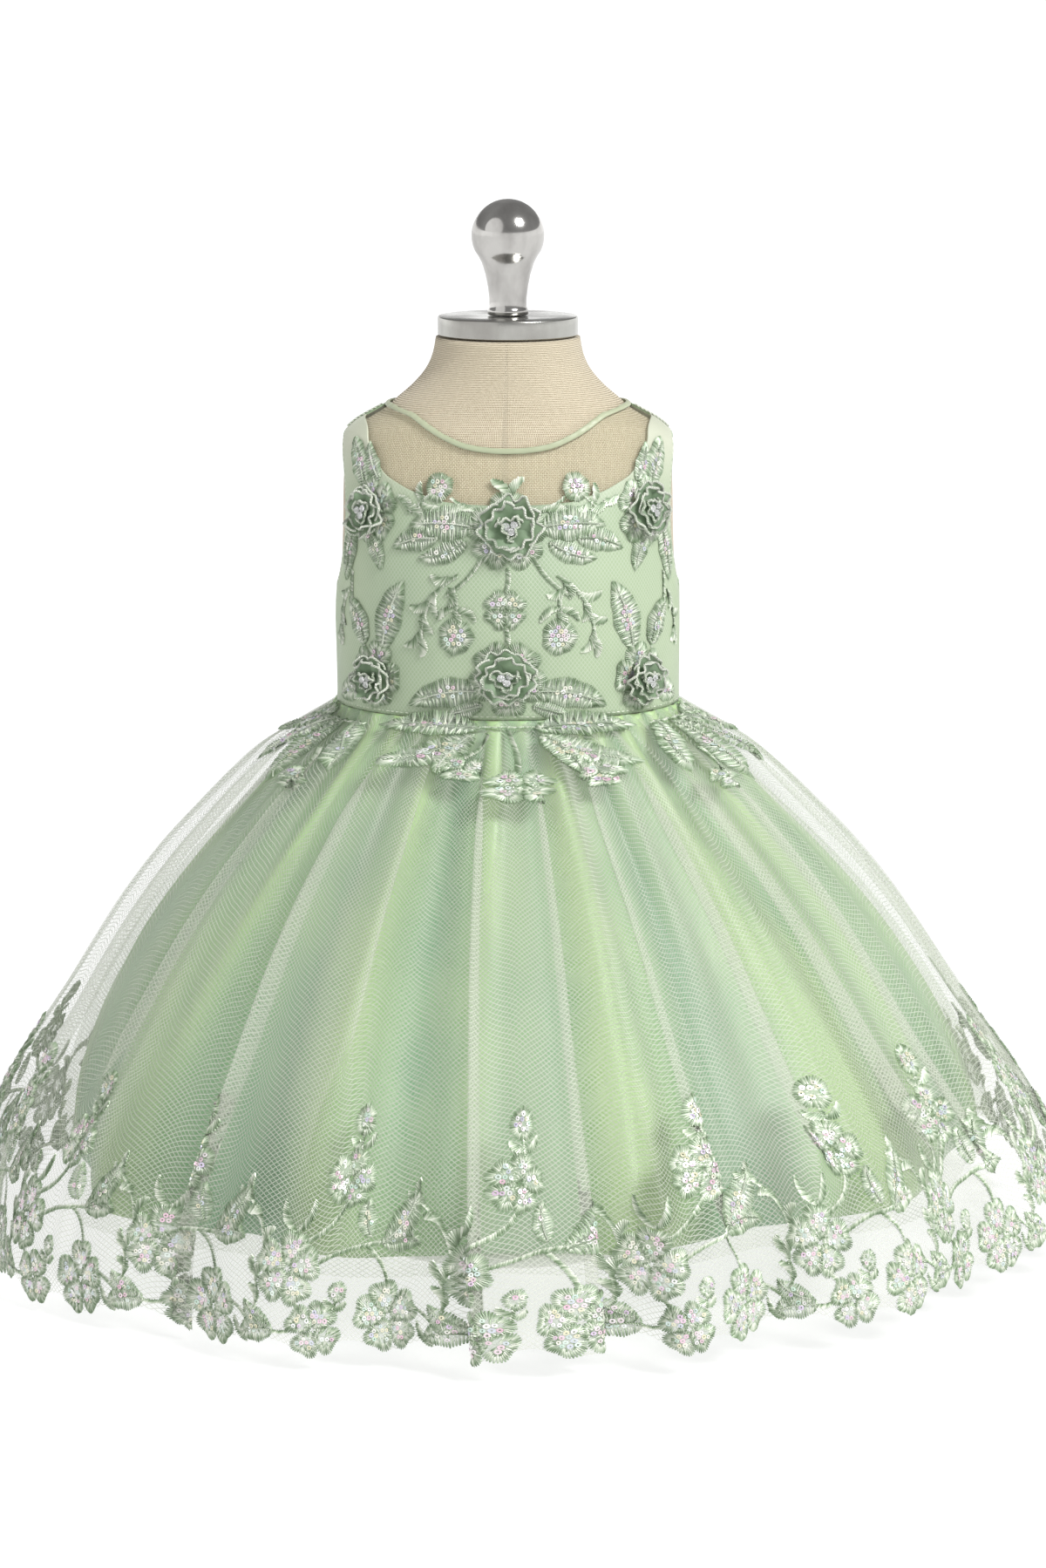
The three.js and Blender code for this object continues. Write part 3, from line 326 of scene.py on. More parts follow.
def net_skin(degrees, z):
    """The lace net: its tucks slide it sideways over itself."""
    slid, lift = degrees.copy(), np.zeros_like(degrees)
    for at, lean, overlap, top, bottom, side in TUCKS:
        away = off_line(degrees, z, at, lean) / TUCK_WIDTH
        reach = between(z, top, bottom, TUCK_ENDS)
        slid -= overlap * reach * away * np.exp(-(away**2))
        lift += side * TUCK_DEPTH * reach * np.tanh(2 * away) * np.exp(-(away**2) / 2)
    lift += folds_at(NET_FOLDS, degrees, z) + creases_at(NET_CREASES, degrees, z)
    return skirt_point(NET, slid, z, lift + gathers_at(NET_GATHERS, degrees, z))


def doubled_at(degrees, z):
    """How much the net lies double: in its gathers, on its tucks and beside them, on its creases."""
    share = 0.55 * np.clip(-gathers_at(NET_GATHERS, degrees, z) / 1.2, -0.3, 1)
    for (at, lean, overlap, top, bottom, side), strength in zip(TUCKS, TUCK_STRENGTHS):
        away = side * off_line(degrees, z, at, lean)
        reach = between(z, top, bottom, DOUBLED_TUCK_ENDS)
        share += 0.25 * strength * reach * np.exp(-(((np.abs(away) - TUCK_EDGE) / 0.34) ** 2))
        beyond = np.maximum(away - TUCK_EDGE, 0)
        panel_share = smoothstep(1.2, 1.6, away) * np.exp(-((beyond / (4 + 4 * strength)) ** 2))
        share += 0.42 * strength * reach * panel_share
    for at, lean, width, height, top, bottom in NET_CREASES:
        away = off_line(degrees, z, at, lean) / width
        share += 0.26 * between(z, top, bottom, DOUBLED_CREASE_ENDS) * np.exp(-((away / 0.22) ** 2))
    return np.clip(share, 0, 1)


def fold_shade_at(degrees, z):
    """Painted shade for the satin's colour: how deep it lies in its folds, from 0 on a ridge to 1 in a
    valley, with its gathers counted far more near the waist.
    """
    lift = folds_at(SATIN_FOLDS, degrees, z) + 1.5 * creases_at(SATIN_CREASES, degrees, z)
    near_waist = np.exp(-(((WAIST_Z - z) / 26) ** 2))
    # painted shade is strongest in the gathers just below the waist
    lift += (1.2 + 4.2 * near_waist) * gathers_at(SATIN_GATHERS, degrees, z)
    return np.clip(0.5 - lift / 17, 0, 1)


def moved_out(skin, first, z, out):
    """Points at a distance from a skin; at the waist a skirt's way out is level."""
    sideways = skin(first + SLOPE_STEP, z) - skin(first - SLOPE_STEP, z)
    upwards = skin(first, z + SLOPE_STEP) - skin(first, z - SLOPE_STEP)
    normal = unit(np.cross(sideways, upwards))
    if skin is not body_skin:
        normal[..., 2] *= np.clip((WAIST_Z - z) / 16, 0, 1)
        normal = unit(normal)
    return skin(first, z) + normal * np.asarray(out)[..., None]


def off_body(flat, out):
    """Points off the body from flat points of arc and height."""
    return moved_out(body_skin, flat[:, 0], flat[:, 1], out)


def hem_tilt(degrees):
    return HEM_TILT * np.sin(np.radians(degrees))


# Meshes
def new_piece(name, points, faces, materials, uv=None, slots=None, node=None):
    """A mesh piece from points in millimetres, with one map point for each point."""
    mesh = bpy.data.meshes.new(name)
    faces = [face for group in faces for face in np.asarray(group).tolist()]
    mesh.from_pydata((np.asarray(points) * MM).tolist(), [], faces)
    if uv is not None:
        corners = np.empty(len(mesh.loops), np.int32)
        mesh.loops.foreach_get("vertex_index", corners)
        layer = mesh.uv_layers.new(name=CLOTH)
        layer.uv.foreach_set("vector", np.asarray(uv, np.float32)[corners].ravel())
    for material in materials:
        mesh.materials.append(material)
    if slots is not None:
        mesh.polygons.foreach_set("material_index", np.asarray(slots, np.int32))
    mesh.polygons.foreach_set("use_smooth", np.ones(len(faces), bool))
    mesh.update()
    made = bpy.data.objects.new(name, mesh)
    bpy.context.scene.collection.objects.link(made)
    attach(made, "root")
    if node:
        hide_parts(node)
    return made


def per_point(made, name, values):
    layer = made.data.attributes.new(name, "FLOAT", "POINT")
    layer.data.foreach_set("value", np.asarray(values, np.float32))


def grid(columns, rows, closed=False):
    """Faces of a grid whose points are stored row by row."""
    cells = columns if closed else columns - 1
    start = np.arange(rows - 1)[:, None] * columns
    i, j = np.arange(cells), (np.arange(cells) + 1) % columns
    faces = [start + i, start + j, start + columns + j, start + columns + i]
    return np.stack(faces, -1).reshape(-1, 4)


def end_fans(columns, rows):
    """Triangles that close a tube, with a middle point for each end stored after its grid."""
    ring = np.arange(columns)
    after, count = (ring + 1) % columns, columns * rows
    last = count - columns
    return np.concatenate([
        np.stack([np.full(columns, count), after, ring], -1),
        np.stack([np.full(columns, count + 1), last + ring, last + after], -1),
    ])


def tube_map(run, turns):
    """Map points of a tube: the distance along it and the way round it."""
    return np.stack(np.broadcast_arrays(run[:, None], turns[None]), -1).reshape(-1, 2)


def shell(outer, inner, faces):
    """The points and faces of a cloth with both its sides and its cut edges."""
    count = len(outer)
    turned = np.roll(faces, -1, axis=1)
    edges = np.stack([faces, turned], -1).reshape(-1, 2)
    key, back = edges[:, 0] * count + edges[:, 1], edges[:, 1] * count + edges[:, 0]
    rim = edges[~np.isin(key, back)]
    sides = np.stack([rim[:, 1], rim[:, 0], rim[:, 0] + count, rim[:, 1] + count], -1)
    return np.concatenate([outer, inner]), [faces, faces[:, ::-1] + count, sides]


def lathe(name, profile, segments, material, node):
    """A turned piece from rows of radius and height, closed at both ends."""
    profile = np.array(profile, float)
    rings = [np.column_stack([r * circle(segments), np.full(segments, z)]) for r, z in profile]
    points = np.concatenate([*rings, [[0, 0, profile[0, 1]], [0, 0, profile[-1, 1]]]])
    climb = run_along(profile)
    arc = np.arange(segments) * 2 * np.pi / segments * profile[:, 0].max()
    uv = np.concatenate([tube_map(climb, arc)[:, ::-1], [[0, 0], [0, climb[-1]]]])
    faces = [grid(segments, len(profile), True), end_fans(segments, len(profile))]
    new_piece(name, points, faces, [material], uv, node=node)


def arc_profile(radius, centre_z, start, end, steps):
    angles = np.radians(np.linspace(start, end, steps))
    return [(radius * math.cos(a), centre_z + radius * math.sin(a)) for a in angles]


# Materials
class Look:
    """A material whose nodes are made and linked by short calls."""

    def __init__(self, name):
        self.material = bpy.data.materials.new(name)
        self.material.use_nodes = True
        self.tree = self.material.node_tree
        self.tree.nodes.clear()

    def node(self, kind, inputs=None, **settings):
        made = self.tree.nodes.new("ShaderNode" + kind)
        for key, value in settings.items():
            setattr(made, key, value)
        for key, value in (inputs or {}).items():
            socket = made.inputs[key]
            if isinstance(value, bpy.types.NodeSocket):
                self.tree.links.new(value, socket)
            else:
                socket.default_value = (*value, 1) if socket.type == "RGBA" else value
        return made

    def math(self, operation, first, second=0.0, third=0.0):
        return self.node("Math", {0: first, 1: second, 2: third}, operation=operation).outputs[0]

    def scaled(self, value, by, plus=0.0):
        return self.math("MULTIPLY_ADD", value, by, plus)

    def ranged(self, value, low, high, first=0.0, last=1.0):
        return self.node("MapRange", {0: value, 1: low, 2: high, 3: first, 4: last}).outputs[0]

    def point_value(self, name):
        return self.node("Attribute", attribute_name=name).outputs["Fac"]

    def cloth_map(self):
        """The cloth's millimetres along and across, as two sockets."""
        pin = self.node("UVMap", uv_map=CLOTH)
        split = self.node("SeparateXYZ", {0: pin.outputs[0]})
        return split.outputs[0], split.outputs[1]

    def noise(self, scale, detail=3.0, stretch=(1, 1, 1), local=True):
        """Noise in the object's own metres, or in the cloth's millimetres."""
        if local:
            place = self.node("TexCoord").outputs["Object"]
        else:
            place = self.node("UVMap", uv_map=CLOTH).outputs[0]
        place = self.node("Mapping", {"Vector": place, "Scale": stretch}).outputs[0]
        return self.node("TexNoise", {"Vector": place, "Scale": scale, "Detail": detail}).outputs[0]

    def wave(self, value, period, phase=0.0):
        """A wave from 0 to 1 along a socket's millimetres."""
        return self.scaled(self.math("SINE", self.scaled(value, 2 * math.pi / period, phase)), 0.5, 0.5)

    def lines(self, value, period, width):
        """Soft lines of 1 on 0, a period apart."""
        share = math.cos(math.pi * width / period)
        wave = self.math("COSINE", self.math("MULTIPLY", value, 2 * math.pi / period))
        return self.ranged(wave, share - 0.25, share + 0.25)

    def ramp(self, value, *stops):
        made = self.node("ValToRGB", {0: value})
        ramp = made.color_ramp
        while len(ramp.elements) < len(stops):
            ramp.elements.new(0.5)
        for element, (at, colour) in zip(ramp.elements, stops):
            element.position = at
            element.color = (*colour, 1)
        return made.outputs[0]

    def mixed(self, share, first, second):
        return self.node("Mix", {0: share, 6: first, 7: second}, data_type="RGBA").outputs[2]

    def bump(self, height, distance, strength):
        inputs = {"Height": height, "Distance": distance, "Strength": strength}
        return self.node("Bump", inputs).outputs[0]

    def finish(self, colour, rough, normal=None, more=None, cover=None, through=0.0):
        """Ends in a principled surface; cover is the share of the area that has cloth."""
        inputs = {"Base Color": colour, "Roughness": rough, **(more or {})}
        if normal is not None:
            inputs["Normal"] = normal
        surface = self.node("BsdfPrincipled", inputs).outputs[0]
        if through:
            back = self.node("BsdfTranslucent", {"Color": colour}).outputs[0]
            surface = self.node("MixShader", {0: through, 1: surface, 2: back}).outputs[0]
        if cover is not None:
            clear = self.node("BsdfTransparent").outputs[0]
            surface = self.node("MixShader", {0: cover, 1: clear, 2: surface}).outputs[0]
        self.node("OutputMaterial", {0: surface})
        return self.material


NET_SLOPE = 1.25
BODICE_NET = (1.7, 0.36)  # the net's cell and thread
STRAP_FROM, STRAP_TO = 0.396, 0.424  # heights in metres between which the straps turn pale


def net_cover(look, cell, thread):
    """The net's threads: two families of diagonals, in the cloth's millimetres."""
    u, v = look.cloth_map()
    period = cell * math.hypot(NET_SLOPE, 1)
    first = look.lines(look.scaled(u, NET_SLOPE, v), period, thread)
    second = look.lines(look.scaled(u, -NET_SLOPE, v), period, thread)
    return look.math("MAXIMUM", first, second)


def net_look(name, colour, cell, thread, least):
    """Net with its own cell and thread; least is the cover of its open cells."""
    look = Look(name)
    cover = net_cover(look, cell, thread)
    fold = look.scaled(look.point_value(DOUBLED), 0.55, least)
    share = look.scaled(cover, look.math("SUBTRACT", 1.0, fold), fold)
    tint = look.mixed(look.noise(30), tuple(0.93 * c for c in colour), colour)
    more = {"Sheen Weight": 0.35, "Sheen Roughness": 0.4}
    return look.finish(tint, 0.6, more=more, cover=share, through=0.35)


def satin_look(name, pale, shade_tone, netted=False, fold_shaded=False):
    """Satin whose pale tone is a painted highlight and whose deep tone is a painted shade, mixed in soft
    vertical bands, with net over it if netted, and with painted shade deeper in its folds and painted
    highlight streaks if folded.
    """
    look = Look(name)
    u, v = look.cloth_map()
    # Painted highlight and painted shade: noise stretched up and down mixes the pale and deep tones in
    # soft vertical bands
    share = look.ranged(look.noise(9, 3, (1, 1, 0.35)), 0.3, 0.7)
    if fold_shaded:
        # Painted highlight streaks, long and thin, running down the satin
        highlight_streak = look.ranged(look.noise(24, 3, (1, 1, 0.14)), 0.35, 0.65, -0.16, 0.2)
        # Painted shade: in fold valleys and gathers the colour goes to the deep tone
        share = look.scaled(share, 0.26, look.math("SUBTRACT", 0.84, look.point_value(FOLD_SHADE)))
        share = look.node("Clamp", {0: look.math("ADD", share, highlight_streak)}).outputs[0]
    colour = look.mixed(share, shade_tone, pale)
    thread = look.wave(look.scaled(u, 0.35, v), 0.42)
    height = look.scaled(thread, 0.12, look.noise(26, 4, (1, 1, 0.3)))
    if netted:
        cover = net_cover(look, *BODICE_NET)
        colour = look.mixed(look.math("MULTIPLY", cover, 0.55), colour, (0.60, 0.61, 0.52))
        height = look.scaled(cover, 0.35, height)
        place = look.node("TexCoord").outputs["Object"]
        up = look.node("SeparateXYZ", {0: place}).outputs[2]
        colour = look.mixed(look.ranged(up, STRAP_FROM, STRAP_TO, 0.0, 0.8), colour, (0.56, 0.57, 0.46))
    more = {
        "Specular IOR Level": 0.6,
        "Anisotropic": 0.55,
        "Sheen Weight": 0.2,
        "Sheen Roughness": 0.35,
        "Sheen Tint": (0.92, 1.0, 0.86),
    }
    return look.finish(colour, 0.42 if netted else 0.32, look.bump(height, 0.0006, 0.5), more)


def linen_look():
    look = Look("linen_weave")
    u, v = look.cloth_map()
    slub = look.noise(0.35, 3, (1, 6, 1), local=False)
    warp, weft = look.wave(look.scaled(slub, 1.1, u), 0.95), look.wave(v, 0.9, 1.0)
    over = look.math("MAXIMUM", warp, weft)
    worn = look.scaled(look.noise(1.1, 4, (0.25, 1, 1), local=False), 0.4, -0.12)
    colour = look.ramp(
        look.scaled(over, 0.78, worn),
        (0.3, (0.24, 0.18, 0.10)), (0.62, (0.52, 0.45, 0.32)), (0.86, (0.70, 0.63, 0.49)),
    )
    more = {"Specular IOR Level": 0.25, "Sheen Weight": 0.2}
    return look.finish(colour, 0.88, look.bump(over, 0.0004, 0.7), more)


def metal_look(name, bright, dull, rough):
    look = Look(name)
    spread = look.ranged(look.noise(38, 5, (1, 1, 0.5)), 0.4, 0.66)
    brushed = look.noise(160, 2, (1, 1, 0.06))
    colour, rough = look.mixed(spread, bright, dull), look.scaled(spread, 0.12, rough)
    return look.finish(colour, rough, look.bump(brushed, 0.00008, 0.3), {"Metallic": 1.0})


def enamel_look():
    look = Look("white_enamel")
    fleck = look.noise(420)
    colour = look.mixed(fleck, (0.74, 0.74, 0.72), (0.84, 0.84, 0.82))
    return look.finish(colour, 0.38, look.bump(fleck, 0.00006, 0.25))


def stitch_look(name, pale=0.0):
    """Embroidery threads: each has its own tone, ropes are wound crosswise, and single stitches go from
    dark at their roots to pale at their tips, a darker outline on petal rims and painted shade on one
    side of each cord.
    """
    look = Look(name)
    u, v = look.cloth_map()
    winding_and_root_tone = look.wave(look.scaled(v, 0.5, u), 1.15)
    own = look.node("NewGeometry").outputs["Random Per Island"]
    shade = look.scaled(winding_and_root_tone, 0.6, look.scaled(own, 0.62, -0.1))
    shade = look.math("ADD", shade, look.scaled(look.noise(60, 2), 0.5, pale - 0.25))
    colour = look.ramp(
        shade, (0.0, (0.13, 0.20, 0.10)), (0.3, (0.27, 0.36, 0.23)), (0.6, (0.49, 0.56, 0.43)),
        (0.9, (0.75, 0.78, 0.68)),
    )
    more = {
        "Metallic": 0.1,
        "Specular IOR Level": 0.7,
        "Sheen Weight": 0.3,
        "Sheen Roughness": 0.4,
    }
    return look.finish(colour, 0.36, look.bump(winding_and_root_tone, 0.0006, 0.8), more)


def ground_look():
    """Loose ground threads under the stitches, with the net showing between them."""
    look = Look("lace_ground")
    u, _ = look.cloth_map()
    thread = look.wave(look.scaled(look.noise(260, 2), 1.5, u), 1.3)
    colour = look.ramp(thread, (0.2, (0.34, 0.42, 0.31)), (0.9, (0.64, 0.69, 0.61)))
    cover = look.ranged(thread, 0.15, 0.8, 0.3, 0.7)
    return look.finish(colour, 0.5, more={"Sheen Weight": 0.3}, cover=cover, through=0.3)


def sequin_look():
    look = Look("sequin_film")
    colour = look.ramp(
        look.node("NewGeometry").outputs["Random Per Island"],
        (0.0, (0.80, 0.79, 0.79)), (0.28, (0.80, 0.52, 0.64)), (0.42, (0.62, 0.56, 0.76)),
        (0.56, (0.56, 0.74, 0.62)), (0.7, (0.90, 0.90, 0.90)), (0.95, (0.76, 0.72, 0.52)),
    )
    return look.finish(colour, 0.24, more={"Metallic": 0.3, "Coat Weight": 0.3}, cover=0.88)


def organza_look():
    look = Look("rose_organza")
    u, v = look.cloth_map()
    weave = look.math("MAXIMUM", look.wave(u, 0.5), look.wave(v, 0.5))
    patchy = look.scaled(look.noise(90), 0.8, look.math("MULTIPLY", weave, 0.2))
    colour = look.ramp(patchy, (0.2, (0.12, 0.22, 0.10)), (0.8, (0.40, 0.53, 0.36)))
    more = {"Sheen Weight": 0.5, "Sheen Roughness": 0.35}
    return look.finish(colour, 0.45, look.bump(weave, 0.0002, 0.5), more, cover=0.93, through=0.35)


def stone_look():
    look = Look("clear_stone")
    colour = look.mixed(look.noise(900, 2), (0.95, 0.95, 0.96), (1.0, 1.0, 1.0))
    return look.finish(colour, 0.02, more={"IOR": 1.6, "Transmission Weight": 0.75, "Coat Weight": 0.6})


LINEN = linen_look()
CHROME = metal_look("polished_metal", (0.54, 0.53, 0.51), (0.24, 0.23, 0.22), 0.12)
CAP_METAL = metal_look("cap_metal", (0.47, 0.47, 0.44), (0.32, 0.31, 0.29), 0.2)
ENAMEL = enamel_look()
# In each satin look, the first colour is a painted highlight tone and the second a painted shade tone
SATIN_LOOK = satin_look("skirt_satin", (0.40, 0.56, 0.27), (0.16, 0.33, 0.18), fold_shaded=True)
BODICE_LOOK = satin_look("bodice_satin", (0.38, 0.47, 0.30), (0.28, 0.37, 0.24), netted=True)
BACK_LOOK = satin_look("back_satin", (0.38, 0.50, 0.31), (0.28, 0.40, 0.25))
LACE_NET = net_look("lace_net", (0.68, 0.70, 0.62), 1.7, 0.31, 0.04)
PLAIN_NET = net_look("plain_net", (0.64, 0.69, 0.56), 1.5, 0.25, 0.03)
YOKE_NET = net_look("yoke_net", (0.60, 0.58, 0.40), 1.2, 0.26, 0.08)
STITCH = stitch_look("lace_stitch")
FILL = ground_look()
SEQUIN = sequin_look()
ORGANZA = organza_look()
EDGING = stitch_look("rose_edging", 0.3)
SEWING_THREAD = stitch_look("sewing_thread", 0.25)
STONE = stone_look()
# The binding's two tones are a painted highlight and a painted shade as well
BINDING_LOOK = satin_look("binding_tulle", (0.45, 0.48, 0.33), (0.37, 0.41, 0.27))


# The dress form
TORSO_COLUMNS, TORSO_ROWS = 160, 110
TORSO_INSET = 0.9  # under the bodice, from the armholes' foot up to the neckline
CAP_LIP = 0.8
POLE_NECK = 0.6  # how much thinner the pole is between its ends


def build_form():
    heights = np.linspace(BODY[0, Z], BODY[-1, Z], TORSO_ROWS)
    arcs = np.arange(TORSO_COLUMNS) * 360 * ARC_PER_DEGREE / TORSO_COLUMNS
    s, z = (values.ravel() for values in np.meshgrid(arcs, heights))
    inset = TORSO_INSET * smoothstep(345, 355, z) * smoothstep(446, 438, z)
    skin = moved_out(body_skin, s, z, -inset)
    points = np.concatenate([skin, [[0, 0, heights[0]], [0, 0, heights[-1]]]])
    uv = np.concatenate([np.stack([s, z], -1), [[0, 0], [0, 0]]])
    faces = [grid(TORSO_COLUMNS, TORSO_ROWS, True), end_fans(TORSO_COLUMNS, TORSO_ROWS)]
    new_piece("torso_linen", points, faces, [LINEN], uv, node="form_torso")

    top = CAP_Z + CAP_HEIGHT
    lathe("cap_disc", [
        (CAP_RADIUS - CAP_LIP, CAP_Z), (CAP_RADIUS - 0.2, CAP_Z + 0.3), (CAP_RADIUS, CAP_Z + CAP_LIP),
        (CAP_RADIUS, top - CAP_LIP), (CAP_RADIUS - 0.2, top - 0.3), (CAP_RADIUS - CAP_LIP, top),
        (CAP_RADIUS * 0.6, top), (12, top),
    ], 96, CAP_METAL, "form_cap")

    ball_z = KNOB_TOP_Z - BALL_RADIUS
    foot = (
        (9.6, 0), (10.5, 0.4), (10.6, 2.6), (10.2, 3.4), (9.7, 4.6), (9.8, 9), (10.5, 15), (11.7, 21),
    )
    knob = [(radius, KNOB_FOOT_Z + up) for radius, up in foot]
    knob += [(13.6, ball_z - 14), (15.4, ball_z - 10.6)]
    knob += arc_profile(BALL_RADIUS, ball_z, -25, 88, 22)
    lathe("knob_turned", knob, 72, CHROME, "form_knob")

    low = BASE_HEIGHT + 0.3
    lathe("pole_tube", [
        (POLE_RADIUS, low), (POLE_RADIUS, low + 0.4), (POLE_RADIUS - POLE_NECK, low + 12),
        (POLE_RADIUS - POLE_NECK, 160), (POLE_RADIUS, 161), (POLE_RADIUS, 169.7),
    ], 48, CHROME, "form_pole")

    lathe("base_plate", [
        (BASE_RADIUS - 1, 0), (BASE_RADIUS, 1), (BASE_RADIUS, BASE_HEIGHT - 2.4),
        (BASE_RADIUS - 0.8, BASE_HEIGHT - 0.8), (BASE_RADIUS - 2.6, BASE_HEIGHT),
        (20, BASE_HEIGHT),
    ], 96, ENAMEL, "form_base")


# The bodice
SCOOP_SHARE = 0.3  # the share of the half front that lies under the scoop's lowest part
BINDING_STEPS, BINDING_SIDES = 420, 12
PLACKET_HALF, PLACKET_LOW, PLACKET_HIGH = 7.0, 291.0, 427.0
BUTTONS, BUTTON_SIDES, BUTTON_LOW, BUTTON_PITCH = 5, 32, 302.0, 28
BUTTON_PROFILE = [
    (3.6, 0.0), (4.0, 0.5), (4.05, 1.3), (3.7, 2.1), (2.8, 2.65), (1.5, 2.9), (0.5, 3.0),
]


def panel(name, flat, faces, material, node):
    """A satin panel on the body from flat points of arc and height."""
    crease = bodice_creases_at(flat[:, 0], flat[:, 1])
    points, faces = shell(off_body(flat, PANEL_OUT + crease), off_body(flat, PANEL_IN + crease), faces)
    uv = np.concatenate([flat, flat])
    return new_piece(name, points, faces, [material], uv, node=node)


def welded(groups):
    """Joins grids of flat points and faces where their points are the same."""
    points, faces, start = [], [], 0
    for flat, cells in groups:
        points.append(flat)
        faces.append(cells + start)
        start += len(flat)
    points, faces = np.concatenate(points), np.concatenate(faces)
    _, first, index = np.unique(np.round(points, 3), axis=0, return_index=True, return_inverse=True)
    return points[first], index.ravel()[faces]


def front_panel():
    """The front up to its scoop, with both straps welded to it."""
    half, rows, up = 50, 54, 56
    (arm_s, arm_z), crest_z, middle_z = FRONT_STRAP[0], SCOOP[0][1], FRONT_MIDDLE[-1]

    def crest(apart):
        """The height across a strap's foot, from the scoop to the armhole."""
        share = np.clip((apart - SCOOP_SHARE) / (1 - SCOOP_SHARE), 0, 1)
        return crest_z - (crest_z - arm_z) * share**1.2

    share = np.arange(-half, half + 1) / half
    apart = np.abs(share)
    at = np.linspace(0, len(FRONT_SIDE) - 1, rows)
    side, middle = curve(FRONT_SIDE, at), curve(FRONT_MIDDLE, at)[:, 0]
    scooped = middle_z + (crest_z - middle_z) * (apart / SCOOP_SHARE) ** 2
    edge = np.where(apart < SCOOP_SHARE, scooped, crest(apart))
    rise = middle[:, None] + (side[:, 1] - middle)[:, None] * apart**2.4
    top = middle_z + (arm_z - middle_z) * apart**2.4
    rise = rise + smoothstep(3, len(FRONT_SIDE) - 1, at)[:, None] * (edge - top)
    low = np.stack([side[:, 0][:, None] * share, rise], -1).reshape(-1, 2)

    columns = int(round(half * (1 - SCOOP_SHARE))) + 1
    base_share = np.linspace(SCOOP_SHARE, 1, columns)
    base = np.stack([arm_s * base_share, crest(base_share)], -1)
    climb = np.linspace(0, 1, up)
    inner = curve([(arm_s * SCOOP_SHARE, crest_z), *SCOOP[1:]], climb * (len(SCOOP) - 1))
    outer = curve(FRONT_STRAP, climb * (len(FRONT_STRAP) - 1))
    q = np.linspace(0, 1, columns)[None, :, None]
    strap = inner[:, None] * (1 - q) + outer[:, None] * q
    strap += (1 - climb)[:, None, None] ** 3 * (base - strap[0])
    right, left = strap.reshape(-1, 2), strap[:, ::-1].reshape(-1, 2) * (-1, 1)
    cells = grid(columns, up)
    flat, faces = welded([(low, grid(2 * half + 1, rows)), (right, cells), (left, cells)])
    made = panel("front_satin", flat, faces, BODICE_LOOK, "bodice_front")


def yoke():
    columns, rows = 200, 12
    at = np.linspace(-1, 1, columns)
    tables = [(0, FRONT_MIDDLE[-1]), *SCOOP], NECKLINE
    low, high = (curve(table, np.abs(at) * (len(table) - 1)) for table in tables)
    q = np.linspace(0, 1, rows)[:, None, None]
    flat = low * (1 - q) + high * q
    flat[..., 0] *= np.sign(at)
    flat = flat.reshape(-1, 2)
    points, faces = off_body(flat, 1.1), [grid(columns, rows)]
    made = new_piece("yoke_net", points, faces, [YOKE_NET], flat, node="yoke_front")


def back_panel(sign, name, node):
    columns, rows = 64, 76
    at = np.linspace(0, len(BACK_SIDE), rows)
    low = np.minimum(at, len(BACK_SIDE) - 1)
    side, middle = curve(BACK_SIDE, low), curve(BACK_MIDDLE, low)
    q = np.linspace(0, 1, columns)
    flat = side[:, None] * (1 - q)[:, None]
    flat = flat + np.stack([np.full(rows, BACK_EDGE), middle[:, 0]], -1)[:, None] * q[:, None]
    neck_at = np.interp(flat[-1, :, 0], [row[0] for row in BACK_NECK], range(len(BACK_NECK)))
    neck = curve(BACK_NECK, neck_at)
    last = np.clip(at - (len(BACK_SIDE) - 1), 0, 1)[:, None, None]
    flat = flat * (1 - last) + neck * last
    if sign < 0:
        flat = flat[:, ::-1] * (-1, 1)
    made = panel(name, flat.reshape(-1, 2), grid(columns, rows), BACK_LOOK, node)


def climbed(s, z, distance):
    """The height on the skin that lies a distance above z."""
    step = 0.25
    travelled = np.zeros_like(z)
    height = z.copy()
    while (travelled < distance).any():
        move = np.linalg.norm(body_skin(s, height + step) - body_skin(s, height), axis=-1)
        going = travelled < distance
        height = np.where(going, height + step, height)
        travelled = np.where(going, travelled + move, travelled)
    return height


def binding():
    """A rolled bias strip round the neckline, open at the back centre."""
    half = [*NECKLINE[1:], *BACK_NECK[1:]]
    rows = [*[(-s, z) for s, z in reversed(half)], NECKLINE[0], *half]
    path = curve(rows, np.linspace(0, len(rows) - 1, BINDING_STEPS))
    s, low = path[:, 0], climbed(path[:, 0], path[:, 1], 0.3)
    high = climbed(s, low, 3.0)
    turns = np.radians(np.arange(BINDING_SIDES) * 360 / BINDING_SIDES)
    twist = 0.12 * np.sin(np.arange(BINDING_STEPS) * 0.9)
    rings = []
    for turn in turns:
        height = low + (high - low) * (0.5 + 0.5 * np.sin(turn))
        rings.append(moved_out(body_skin, s, height, 1.25 - 0.72 * np.cos(turn) + twist))
    points = np.stack(rings, 1).reshape(-1, 3)
    uv, last = tube_map(run_along(rings[0]), turns * 1.5), len(points) - 1
    ends = [list(range(BINDING_SIDES)), list(range(last, last - BINDING_SIDES, -1))]
    faces = [grid(BINDING_SIDES, BINDING_STEPS, True)[:, ::-1], ends]
    looks = [BINDING_LOOK]
    made = new_piece("neck_binding_roll", points, faces, looks, uv, node="neck_binding")


def placket():
    columns, rows = 17, 60
    s, z = (values.ravel() for values in np.meshgrid(
        np.linspace(-PLACKET_HALF, PLACKET_HALF, columns), np.linspace(PLACKET_LOW, PLACKET_HIGH, rows)
    ))
    flat = np.stack([2 * SIDE + s, z], -1)
    puff = 0.35 * np.cos(np.pi * s / (2 * PLACKET_HALF))
    points, faces = shell(off_body(flat, 3.4 + puff), off_body(flat, 2.7), grid(columns, rows))
    uv = np.concatenate([flat, flat])
    made = new_piece("placket_satin", points, faces, [BACK_LOOK], uv, node="back_placket")


